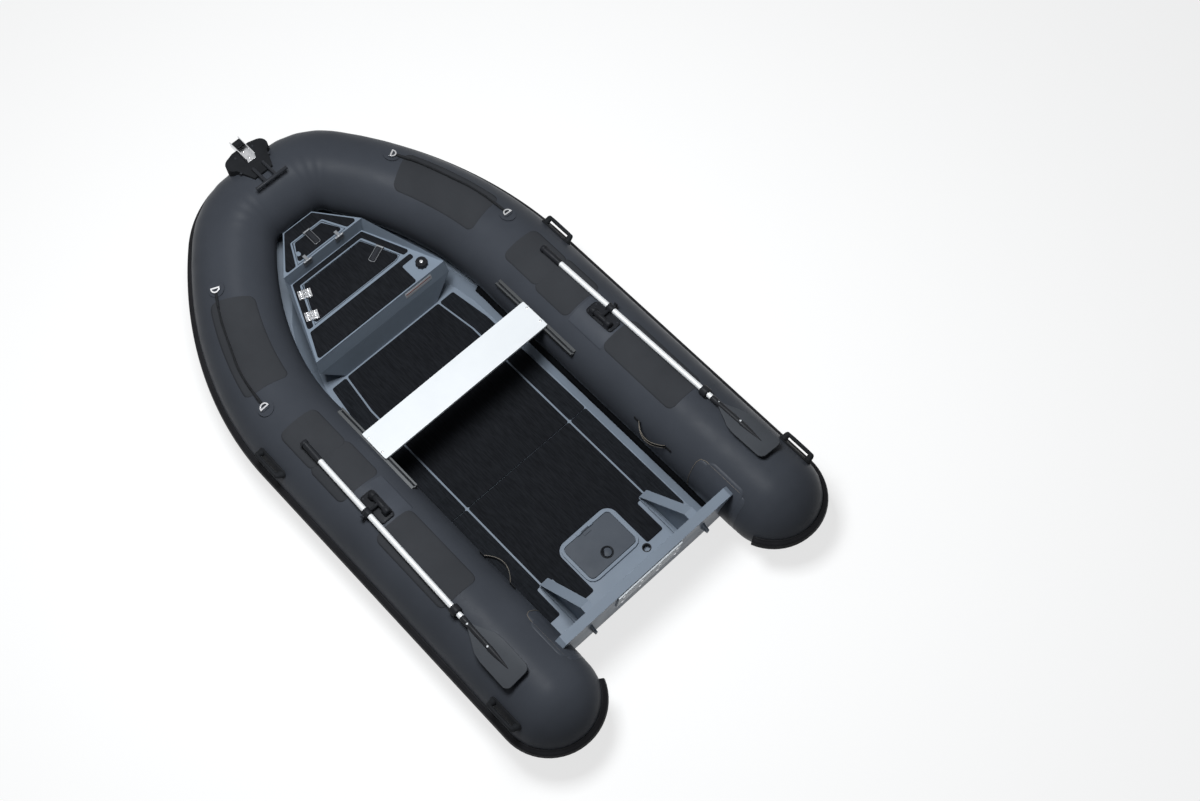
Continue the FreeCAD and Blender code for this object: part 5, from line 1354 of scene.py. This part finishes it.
@dataclass
class OarSet:
    """Both oars: a spined blade, its rivets, the stop sleeve and the collar's thumb screw."""

    pivot: tuple[float, float, float] = (0.945, 0.622, 0.437)
    yaw: float = math.radians(1.1)
    roll: float = math.radians(15.0)
    arm: float = 0.064
    drop: float = -0.008
    root: float = -0.655
    shoulder: float = -0.759
    end: float = -0.951
    half_width: float = 0.065
    thickness: float = 0.007
    root_half: float = 0.0125
    ferrule: float = -0.605
    spine: tuple[Pair, ...] = (
        (0.0, 0.0128), (0.004, 0.0140), (0.034, 0.0140), (0.038, 0.0126), (0.166, 0.0122),
        (0.176, 0.0136), (0.205, 0.0118), (0.240, 0.0084), (0.272, 0.0052), (0.290, 0.0032))
    rivets: tuple[float, float] = (0.039, 0.164)
    rivet_radius: float = 0.0046
    sleeve_station: float = -0.565
    sleeve_radius: float = 0.0235
    sleeve_half: float = 0.018
    collar: tuple[Pair, ...] = (
        (0.0186, -0.0022), (0.0195, -0.0012), (0.0195, 0.0012), (0.0186, 0.0022))

    def seat(self, side: Side) -> Matrix:
        """The rowlock's frame on one side, mirrored to starboard."""
        x, y, z = self.pivot
        return spun((x, y * side.value, z), -side.value * self.yaw) @ Matrix.Diagonal(
            (1, side.value, 1, 1))

    def line(self, side: Side) -> Matrix:
        """The oar's own frame, along its shaft and rolled with its blade."""
        return (self.seat(side) @ Matrix.Translation((0, self.arm, self.drop))
                @ Matrix.Rotation(-self.roll, 4, "X"))

    def blade(self, side: Side) -> None:
        """The blade with round corners and a spine that runs out to a point.

        Args:
            side: side of the boat.
        """
        fore, aft = self.shoulder + 0.01, self.shoulder - 0.03
        port = [(self.root, self.root_half, 0.004), (fore, self.half_width - 0.006, 0.05),
                (aft, self.half_width, 0.05), (self.end, self.half_width, 0.028)]
        starboard = [(x, -y, radius) for x, y, radius in port]
        blade = Shape(self.line(side))
        blade.plate(soft_plan(starboard[:1] + port + starboard[:0:-1], 8),
                    -self.thickness / 2, self.thickness / 2, 0.0022)
        blade.fit(side.word + "_blade", BLADE_PLASTIC, side.oar, side.word + "_oar_blade")
        spine = Shape(self.line(side))
        spine.tube([Vector((self.ferrule - run, 0, 0)) for run, _ in self.spine],
                   [radius for _, radius in self.spine], 28)
        spine.fit(side.word + "_blade_spine", SPINE_PLASTIC, side.oar)

    def details(self, side: Side) -> None:
        """Rivets, stop sleeve and thumb screw.

        Args:
            side: side of the boat.
        """
        rivets = Shape(self.line(side))
        for run in self.rivets:
            small = side is Side.STARBOARD and run == self.rivets[0]
            rivets.dome(Vector((self.ferrule - run, 0, 0.0118)),
                        self.rivet_radius * (0.5 if small else 1.0), 0.0022)
        rivets.fit(side.word + "_blade_rivets", SEAT_COAT, side.oar)
        fittings = Shape(self.line(side))
        radius, half = self.sleeve_radius, self.sleeve_half
        aft = [(radius - 0.003, -half), (radius - 0.0008, 0.002 - half), (radius, 0.005 - half)]
        fore = [(girth, -run) for girth, run in reversed(aft)]
        fittings.turned(FORWARD * self.sleeve_station, FORWARD, aft + fore, 36)
        fittings.turned(ORIGIN, PORTWARD, [(0.006, 0.012), (0.006, 0.026), (0.005, 0.028)], 16)
        fittings.plate(soft_rectangle(0.020, 0.004, 0.0019, (0.0, 0.029)), -0.012, 0.012, 0.001)
        for end in (-1, 1):
            fittings.turned(FORWARD * (end * 0.0145), FORWARD, self.collar, 32)
        fittings.fit(side.word + "_oar_fittings", BLACK_PLASTIC, side.oar)

    def build(self) -> None:
        """Both oars."""
        for side in Side:
            self.blade(side)
            self.details(side)


@dataclass
class Rowlocks:
    """Moulded rowlock bases: a rimmed plate that follows the tube, two lugs and screws."""

    oars: OarSet
    length: float = 0.152
    width: float = 0.066
    corner: float = 0.014
    crown: float = 0.0068
    rim: float = 0.0026
    lug_spacing: float = 0.092
    lug_radius: float = 0.0155
    lug_half: float = 0.0125
    screw_spots: Pair = (0.065, 0.023)

    def lug(self, shape: Shape, x: float, foot: float) -> None:
        """One domed lug on its flared base.

        Args:
            shape: the shape it is added to.
            x: its place along the base.
            foot: height of the base's top.
        """
        radius, half = self.lug_radius, self.lug_half
        base = soft_rectangle(2 * half, 2 * radius, 0.006, (x, 0.0))
        flare = soft_rectangle(2 * half + 0.012, 2 * radius + 0.012, 0.010, (x, 0.0))
        shape.rings([raised(flare, foot), raised(base, foot + 0.004), raised(base, 0.0)])
        profile = [(radius - 0.006, -half - 0.003), (radius - 0.002, -half - 0.001),
                   (radius, -half + 0.003)]
        profile += [(girth, -run) for girth, run in reversed(profile)]
        shape.turned(FORWARD * x, FORWARD, profile, 32)

    def build(self) -> None:
        """Both bases."""
        shape, screws = Shape(), Shape()
        tube_y = LINE.half_beam - LINE.radius - self.oars.pivot[1]
        crest = LINE.axis_height + LINE.radius - self.oars.pivot[2]
        level = crest + self.crown
        for side in Side:
            shape.place = screws.place = self.oars.seat(side)
            outline = soft_rectangle(self.length, self.width, self.corner, (0.0, tube_y), 6)
            inner = soft_rectangle(self.length - 0.006, self.width - 0.006, self.corner - 0.003,
                                   (0.0, tube_y), 6)
            foot = [Vector((p.x, p.y, crest - LINE.radius
                            + math.sqrt(LINE.radius ** 2 - (p.y - tube_y) ** 2)))
                    for p in outline]
            shape.rings([foot, raised(outline, level), raised(inner, level + 0.0008)])
            shape.hoop(raised(outline, level), self.rim)
            for end in (-1, 1):
                self.lug(shape, end * self.lug_spacing / 2, level)
                for edge in (-1, 1):
                    x, y = self.screw_spots
                    screws.dome(Vector((end * x, tube_y + edge * y, level)), 0.0045, 0.0022)
        shape.fit("rowlock_mouldings", BLACK_PLASTIC, Body.BOAT, "rowlock_bases")
        screws.fit("rowlock_screws", DARK_METAL, Body.BOAT)


@dataclass
class CarryHandles:
    """Moulded handles on the tube's outer side: a bonded plate, two lobes and a grip."""

    stations: Pair = (1.545, 0.053)
    angle: float = 32.0
    length: float = 0.178
    width: float = 0.040
    rise: float = 0.042
    grip: float = 0.009
    lobe: tuple[tuple[float, float, float], ...] = (
        (0.004, 0.017, 0.0165), (0.010, 0.0155, 0.0140), (0.020, 0.0140, 0.0115),
        (0.029, 0.0135, 0.0110), (0.036, 0.0115, 0.0100), (0.040, 0.0070, 0.0060))
    lobe_inset: float = 0.018
    grip_ends: tuple[Pair, ...] = ((0.022, 0.0075), (0.03, 0.0082), (0.05, 0.009))

    def handle(self, shape: Shape, along: float, side: Side) -> None:
        """One handle on the skin.

        Args:
            shape: the shape it is added to.
            along: length of its middle along the tube.
            side: side of the boat.
        """
        half = self.length / 2
        shape.place = LINE.seat(along, side, self.angle)
        outline = soft_rectangle(self.length, self.width, self.width * 0.49, steps=7)
        foot = [Vector((p.x, p.y, -p.y ** 2 / (2 * LINE.radius) - 0.0008)) for p in outline]
        face = [Vector((p.x * 0.985, p.y * 0.93, 0.0052)) for p in outline]
        shape.rings([foot, raised(outline, 0.0038), face])
        for end in (-1, 1):
            x = end * (half - self.lobe_inset)
            shape.rings([[Vector((x - end * height * 0.12 + length * cosine, width * sine, height))
                          for cosine, sine in turns(24)] for height, length, width in self.lobe])
        aft = [(inset - half, radius) for inset, radius in self.grip_ends]
        bar = aft + [(0.0, self.grip)] + [(-x, radius) for x, radius in reversed(aft)]
        shape.tube([Vector((x, 0, self.rise - self.grip)) for x, _ in bar],
                   [radius for _, radius in bar], 20)

    def build(self) -> None:
        """All four handles in one piece."""
        shape = Shape()
        for side in Side:
            for along in self.stations:
                self.handle(shape, along, side)
        shape.fit("handle_mouldings", SOFT_RUBBER, Body.BOAT, "carry_handles")


@dataclass
class DeckGear:
    """Rims, bosses, knobs, labels and screws of the lockers, the hatch and the seat."""

    hinges: tuple[Pair, ...] = ((1.922, 0.238), (2.030, 0.192))
    hinge_turn: float = math.radians(-23.07)
    leaf_top: float = 0.2603
    boss_spots: Pair = (0.013, 0.018)
    boss: tuple[Pair, ...] = (
        (0.0100, -0.0048), (0.0100, 0.0008), (0.0088, 0.0026), (0.0060, 0.0034),
        (0.0042, 0.0030), (0.0036, 0.0016), (0.0005, 0.0014))
    main_latch: tuple[float, float, float] = (1.9692, -0.1718, 0.2553)
    main_latch_turn: float = math.radians(-67.1)
    fore_latch: tuple[float, float, float] = (2.190, 0.0, 0.3403)
    latch_rim: Pair = (0.086, 0.031)
    latch_end: Pair = (0.009, 0.040)
    latch_lever: Pair = (0.074, 0.024)
    latch_paddle: Pair = (0.040, 0.014)
    latch_corner: float = 0.006
    cap: tuple[float, float, float] = (1.784, -0.290, 0.2503)
    cap_radius: float = 0.0272
    cap_lobes: int = 10
    lobe_depth: float = 0.0022
    knob: tuple[Pair, ...] = (
        (0.002, 0.86), (0.004, 1.0), (0.019, 1.0), (0.0225, 0.93), (0.0242, 0.80))
    knob_face: tuple[Pair, ...] = ((0.017, -0.002), (0.017, 0.0026), (0.015, 0.0032))
    knob_top: float = 0.0240
    centre_foot: float = 0.0268
    grip: tuple[float, float, float] = (0.258, 0.0, 0.0293)
    grip_turn: float = math.radians(52)
    well_radius: float = 0.0238
    well_depth: float = 0.005
    lip_radius: float = 0.0268
    lip_girth: float = 0.0026
    flap_radius: float = 0.0206
    flap_cut: float = math.radians(52)
    label: tuple[float, float, float, float] = (-0.289, -0.137, 0.201, 0.236)
    face_foot: Pair = (1.7155, 0.168)
    face_head: Pair = (1.7285, 0.250)
    pad_bolts: tuple[float, ...] = (-0.150, -0.05, 0.05, 0.150)
    pad_bolt_inset: float = 0.028
    channel_bolts: Pair = (0.022, 0.062)
    seat_screw_inset: float = 0.035

    def hinge_bosses(self) -> None:
        """Cast bosses on each leaf of the main lid's hinges."""
        x_gap, y_gap = self.boss_spots
        for hand, name, body in ((1, "hinge_bosses_fixed", Body.BOAT),
                                 (-1, "hinge_bosses_moving", Body.MAIN_LID)):
            shape = Shape()
            for x, y in self.hinges:
                shape.place = spun((x, y, self.leaf_top), self.hinge_turn)
                for end in (-1, 1):
                    shape.turned(Vector((end * x_gap, hand * y_gap, 0)), UP, self.boss)
            shape.fit(name, STEEL, body)

    def latch(self, node: str, place: Matrix, body: Body) -> None:
        """The rim, end plate and pull of a latch.

        Args:
            node: name of the latch's node, which starts the pieces' names.
            place: frame of the latch.
            body: lid that carries it.
        """
        rim, pull = Shape(place), Shape(place)
        rim.hoop(raised(soft_rectangle(*self.latch_rim, 0.007), 0.0052), 0.0015)
        rim.plate(soft_rectangle(*self.latch_end, 0.003, (0.042, 0.0)), 0.0002, 0.0062, 0.0012)
        rim.dome(Vector((0.024, 0, 0.0078)), 0.0042, 0.0022)
        rim.fit(node + "_rim", LATCH_METAL, body)
        lever = soft_rectangle(*self.latch_lever, self.latch_corner)
        pull.plate(lever, 0.0012, 0.0080, 0.0016)
        paddle = soft_rectangle(*self.latch_paddle, self.latch_corner, (-0.012, 0.0))
        pull.plate(paddle, 0.0078, 0.0118, 0.0018)
        pull.fit(node + "_pull", DARK_METAL, body)

    def filler_cap(self) -> None:
        """A lobed knob round the cap, with a bright centre."""
        knob, centre = (Shape(Matrix.Translation(self.cap)) for _ in range(2))
        steps = self.cap_lobes * 12
        girths = [self.cap_radius + self.lobe_depth * math.cos(2 * math.pi * k / 12)
                  for k in range(steps)]
        knob.rings([[Vector((girth * share * cosine, girth * share * sine, height))
                     for girth, (cosine, sine) in zip(girths, turns(steps))]
                    for height, share in self.knob])
        knob.turned(UP * self.knob_top, UP, self.knob_face, 40)
        knob.fit("filler_knob", BLACK_PLASTIC, Body.BOAT)
        centre.dome(UP * self.centre_foot, 0.0088, 0.0018)
        centre.fit("filler_centre", STEEL, Body.BOAT)

    def hatch_grip(self) -> None:
        """A half-moon finger grip in the hatch lid's round recess, over a black disc that is
        painted shade in the recess.
        """
        # Black disc at the recess's bottom: painted shade in the recess. A black lip hoop rings the
        # recess.
        well = Shape(Matrix.Translation(Vector(self.grip) - UP * self.well_depth))
        well.turned(ORIGIN, UP, [(self.well_radius, 0.0), (self.well_radius, 0.0007)], 48)
        lip = [Vector((self.lip_radius * cosine, self.lip_radius * sine, 0.0052))
               for cosine, sine in turns(48)]
        well.hoop(lip, self.lip_girth, 10)
        well.fit("hatch_grip_shade_well", BLACK_PLASTIC, Body.HATCH_LID)
        flap = Shape(spun(self.grip, self.grip_turn))
        sweep = 2 * math.pi - 2 * self.flap_cut
        arc = [self.flap_cut + sweep * k / 20 for k in range(21)]
        outline = [Vector((math.cos(turn), math.sin(turn), 0)) * self.flap_radius for turn in arc]
        flap.plate(rounded(outline, 0.004, 2), -0.0042, 0.0006, 0.0012)
        flap.fit("hatch_grip_flap", LID_PAINT, Body.HATCH_LID)

    def label_plates(self) -> None:
        """A blank plate with one band on the locker's aft face."""
        (x0, z0), (x1, z1) = self.face_foot, self.face_head
        left, right, low, high = self.label
        slope = (x1 - x0) / (z1 - z0)
        level = (low + high) / 2
        middle = Vector((x0 + slope * (level - z0), (left + right) / 2, level))
        plate, band = (Shape(seated(middle, PORTWARD, Vector((-1, 0, slope)))) for _ in range(2))
        plate.plate(soft_rectangle(right - left, high - low, 0.002), -0.0004, 0.0008, 0.0002)
        plate.fit("locker_label", LABEL_PLATE, Body.BOAT)
        band.plate(rectangle((right - left) * 0.94, 0.0055, (0.0, -0.004)),
                   0.0004, 0.0011, 0.0001)
        band.fit("locker_label_band", LABEL_BAND, Body.BOAT)

    @staticmethod
    def track_runners() -> None:
        """Dark runners in the seat tracks' slots."""
        low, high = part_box("seat_tracks")
        runner = Shape()
        for side in Side:
            middle = ((low[0] + high[0]) / 2, side.value * TRACK_OFFSET)
            runner.plate(rectangle(high[0] - low[0] - 0.012, 0.0062, middle),
                         high[2] - 0.0095, high[2] - 0.0084)
        runner.fit("track_runners", DARK_METAL, Body.BOAT)

    def screws(self) -> None:
        """Screw heads on the motor pad, the seat and the bow fitting."""
        boat, seat, dark = Shape(), Shape(), Shape()
        low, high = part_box("motor_pad")
        rake = math.tan(TRANSOM_RAKE)
        for y in self.pad_bolts:
            for z in (high[2] - self.pad_bolt_inset, low[2] + self.pad_bolt_inset):
                boat.dome(Vector((low[0] + (high[2] - z) * rake, y, z)), 0.0075, 0.0032,
                          Vector((-1, 0, -rake)))
        low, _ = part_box("bow_channel")
        for run in self.channel_bolts:
            boat.dome(Vector((low[0] + run, 0, low[2] + 0.0042)), 0.0055, 0.0026)
        low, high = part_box("seat_board")
        for side in Side:
            for x in (low[0] + self.seat_screw_inset, high[0] - self.seat_screw_inset):
                seat.dome(Vector((x, side.value * TRACK_OFFSET, high[2])), 0.0060, 0.0020)
        low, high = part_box("bow_pad")
        for side in Side:
            for x, y in ((high[0] - 0.030, 0.048), (low[0] + 0.062, 0.078)):
                dark.dome(Vector((x, side.value * y, high[2])), 0.0062, 0.0026)
        boat.fit("bolt_heads", STEEL, Body.BOAT)
        seat.fit("seat_screws", STEEL, Body.SEAT)
        dark.fit("bow_pad_screws", DARK_METAL, Body.BOAT)

    def build(self) -> None:
        """Every small part of the deck gear."""
        self.hinge_bosses()
        self.latch("main_latch", spun(self.main_latch, self.main_latch_turn), Body.MAIN_LID)
        self.latch("fore_latch", Matrix.Translation(self.fore_latch), Body.FORE_LID)
        self.filler_cap()
        self.hatch_grip()
        self.label_plates()
        self.track_runners()
        self.screws()


@dataclass
class LoopEdges:
    """Stitched edges of the webbing loops on the tubes' inner sides."""

    fore: float = 0.516
    aft: float = 0.356
    level: float = 0.298
    reach: float = 0.038
    half_width: float = 0.0121
    inset: float = 0.0025
    binding: float = 0.0011
    steps: int = 24

    def build(self) -> None:
        """One thin binding along each edge of both loops."""
        shape = Shape()
        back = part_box("grab_loops")[1][1] - self.inset
        for side in Side:
            for edge in (-1, 1):
                path = []
                for k in range(self.steps + 1):
                    share = k / self.steps
                    bulge = self.reach * 4 * share * (1 - share)
                    path.append(Vector((self.aft + (self.fore - self.aft) * share,
                                        side.value * (back - bulge),
                                        self.level + edge * self.half_width)))
                shape.tube(path, self.binding, 6)
        shape.fit("loop_bindings", GLUE_LINE, Body.BOAT)


@dataclass
class Frame:
    """Nodes of the frame that keep their own shape and only take a finish and soft edges."""

    nodes: tuple[tuple[Finish, float, tuple[str, ...]], ...] = (
        (HULL_PAINT, 0.0, ("hull_bottom", "hull_floor", "hull_sides")),
        (HULL_PAINT, 0.001, ("transom_knees", "towing_eyes")),
        (HULL_PAINT, 0.0015, ("hatch_frame",)),
        (HULL_PAINT, 0.003, ("transom",)),
        (PAD_BOARD, 0.0015, ("motor_pad",)),
        (LID_PAINT, 0.0025, ("hatch_lid",)),
        (DECK_PAINT, 0.0012, ("locker_walls", "locker_deck", "fore_locker")),
        (DECK_PAINT, 0.001, ("main_lid", "fore_lid")),
        (STEEL, 0.0006, ("main_hinge_fixed", "main_hinge_moving")),
        (STEEL, 0.0008, ("bow_channel", "dee_rings")),
        (LATCH_METAL, 0.0005, ("fore_hinge_fixed", "fore_hinge_moving")),
        (DARK_METAL, 0.0008, ("main_latch", "fore_latch")),
        (DARK_METAL, 0.0015, ("bow_cleat",)),
        (SOFT_RUBBER, 0.010, ("bow_pad",)),
        (SOFT_RUBBER, 0.0008, ("bow_roller",)),
        (TUBE_CLOTH, 0.001, ("ring_patches",)),
        (STRAP_YARN, 0.0004, ("grab_loops",)),
        (SEAT_COAT, 0.0015, ("seat_board",)),
        (TRACK_METAL, 0.0008, ("seat_tracks",)),
        (OAR_ALUMINIUM, 0.0, ("port_oar_shaft", "starboard_oar_shaft")),
        (BLACK_PLASTIC, 0.0008, ("deck_caps",)),
        (BLACK_PLASTIC, 0.0006, ("oar_clips", "port_swivel", "starboard_swivel",
                                 "port_oar_sleeves", "starboard_oar_sleeves")))

    def build(self) -> None:
        """Dress the nodes that stay."""
        for finish, edge, names in self.nodes:
            for name in names:
                dress(name, finish, edge)
            LOG.info("%s on %s", finish.name, ", ".join(names))


@dataclass
class Studio:
    """Floor, light and camera."""

    eye: tuple[float, float, float] = (-1.6662, 1.5258, 6.6647)
    right: tuple[float, float, float] = (-0.68245, -0.73011, -0.03465)
    up: tuple[float, float, float] = (0.64912, -0.62718, 0.43045)
    back: tuple[float, float, float] = (-0.33601, 0.27127, 0.90195)
    lens: float = 49.26
    reach: float = 30.0
    sky: float = 0.07
    sky_colour: Colour = (0.94, 0.97, 1.0)
    floor_seen: float = 0.34
    floor_glow: float = 0.74
    floor_bounce: float = 0.62
    hull_hole: tuple[Pair, ...] = ((0.12, 0.2), (0.48, 0.2), (0.48, -0.2), (0.12, -0.2))
    aim: tuple[float, float, float] = (1.2, 0.0, 0.2)
    lamps: tuple[tuple[str, tuple[float, float, float], float, float, Colour], ...] = (
        ("overhead", (1.3, 0.2, 4.5), 1.5, 192.0, (0.95, 0.98, 1.0)),
        ("side", (4.6, 2.6, 3.2), 2.0, 9.0, (1.0, 0.98, 0.96)))

    def camera(self) -> None:
        """The camera at the photograph's place."""
        data = bpy.data.cameras.new("camera")
        data.lens = self.lens
        data.sensor_width = 36.0
        data.clip_end = 100.0
        eye = linked("camera", data)
        columns = Matrix((self.right, self.up, self.back)).transposed()
        eye.matrix_world = Matrix.Translation(self.eye) @ columns.to_4x4()
        bpy.context.scene.camera = eye

    def floor(self) -> None:
        """A pale floor at the waterline, open under the hull's inside."""
        far = self.reach
        outer = ((-far, far), (far, far), (far, -far), (-far, -far))
        edge = bmesh.new()
        for corners in (outer, self.hull_hole):
            loop = [edge.verts.new((x, y, 0)) for x, y in corners]
            for k, corner in enumerate(loop):
                edge.edges.new((corner, loop[(k + 1) % len(loop)]))
        bmesh.ops.triangle_fill(edge, edges=edge.edges[:], use_beauty=True)
        mesh = bpy.data.meshes.new("floor")
        edge.to_mesh(mesh)
        edge.free()
        mesh.materials.append(self.floor_finish())
        linked("floor", mesh)

    def floor_finish(self) -> bpy.types.Material:
        """White to the camera, with soft shadows, and a plain pale bounce to the boat.

        Returns:
            The material.
        """
        material = bpy.data.materials.new("floor_white")
        material.use_nodes = True
        material.node_tree.nodes.clear()
        nodes = Nodes(material.node_tree)
        matt, plain = (nodes.add("ShaderNodeBsdfDiffuse", {"Color": (grey, grey, grey, 1)})
                       for grey in (self.floor_seen, self.floor_bounce))
        glow = nodes.add("ShaderNodeEmission", {"Strength": self.floor_glow})
        both = nodes.add("ShaderNodeAddShader", {0: matt.outputs[0], 1: glow.outputs[0]})
        self.chosen(nodes, plain, both, "ShaderNodeOutputMaterial")
        return material

    @staticmethod
    def chosen(nodes: Nodes, bounced: bpy.types.Node, seen: bpy.types.Node, kind: str) -> None:
        """Show one shader where a ray is seen and another to the light that bounces.

        Args:
            nodes: tree of both shaders.
            bounced: shader for the light that bounces.
            seen: shader for rays from the camera, a gloss or a clear surface.
            kind: type of the output node.
        """
        path = nodes.add("ShaderNodeLightPath")
        total = path.outputs["Is Camera Ray"]
        for name in ("Is Glossy Ray", "Is Transmission Ray"):
            sockets = {0: total, 1: path.outputs[name]}
            total = nodes.add("ShaderNodeMath", sockets, operation="MAXIMUM").outputs[0]
        sockets = {0: total, 1: bounced.outputs[0], 2: seen.outputs[0]}
        mix = nodes.add("ShaderNodeMixShader", sockets)
        nodes.add(kind, {"Surface": mix.outputs[0]})

    def world(self) -> None:
        """White round the object, with a dimmer even light from all sides."""
        world = bpy.data.worlds.new("studio")
        world.use_nodes = True
        world.node_tree.nodes.clear()
        nodes = Nodes(world.node_tree)
        light = nodes.add("ShaderNodeBackground", {"Color": (*self.sky_colour, 1),
                                                   "Strength": self.sky})
        white = nodes.add("ShaderNodeBackground", {"Strength": 1.0})
        self.chosen(nodes, light, white, "ShaderNodeOutputWorld")
        bpy.context.scene.world = world

    def lamp(self, name: str, place: Sequence[float], size: float, power: float,
             colour: Colour) -> None:
        """A square soft light aimed at the boat's middle.

        Args:
            name: name of the lamp.
            place: where it hangs.
            size: length of its side.
            power: its power in watts.
            colour: its colour.
        """
        data = bpy.data.lights.new(name, "AREA")
        data.size = size
        data.energy = power
        data.color = colour
        lamp = linked(name, data)
        lamp.location = place
        lamp.rotation_mode = "QUATERNION"
        lamp.rotation_quaternion = (Vector(self.aim) - Vector(place)).to_track_quat("-Z", "Y")

    def build(self) -> None:
        """Set the whole studio."""
        bpy.context.scene.view_settings.view_transform = "Standard"
        self.camera()
        self.floor()
        self.world()
        for lamp in self.lamps:
            self.lamp(*lamp)


def main() -> None:
    """Build the studio and every sub-assembly in order."""
    logging.basicConfig(level=logging.INFO, format="%(name)s: %(message)s")
    oars = OarSet()
    for assembly in (Studio(), Lifelines(), Frame(), BuoyancyTube(), FoamSheets(), oars,
                     Rowlocks(oars), CarryHandles(), DeckGear(), LoopEdges()):
        assembly.build()


if __name__ == "__main__":
    main()
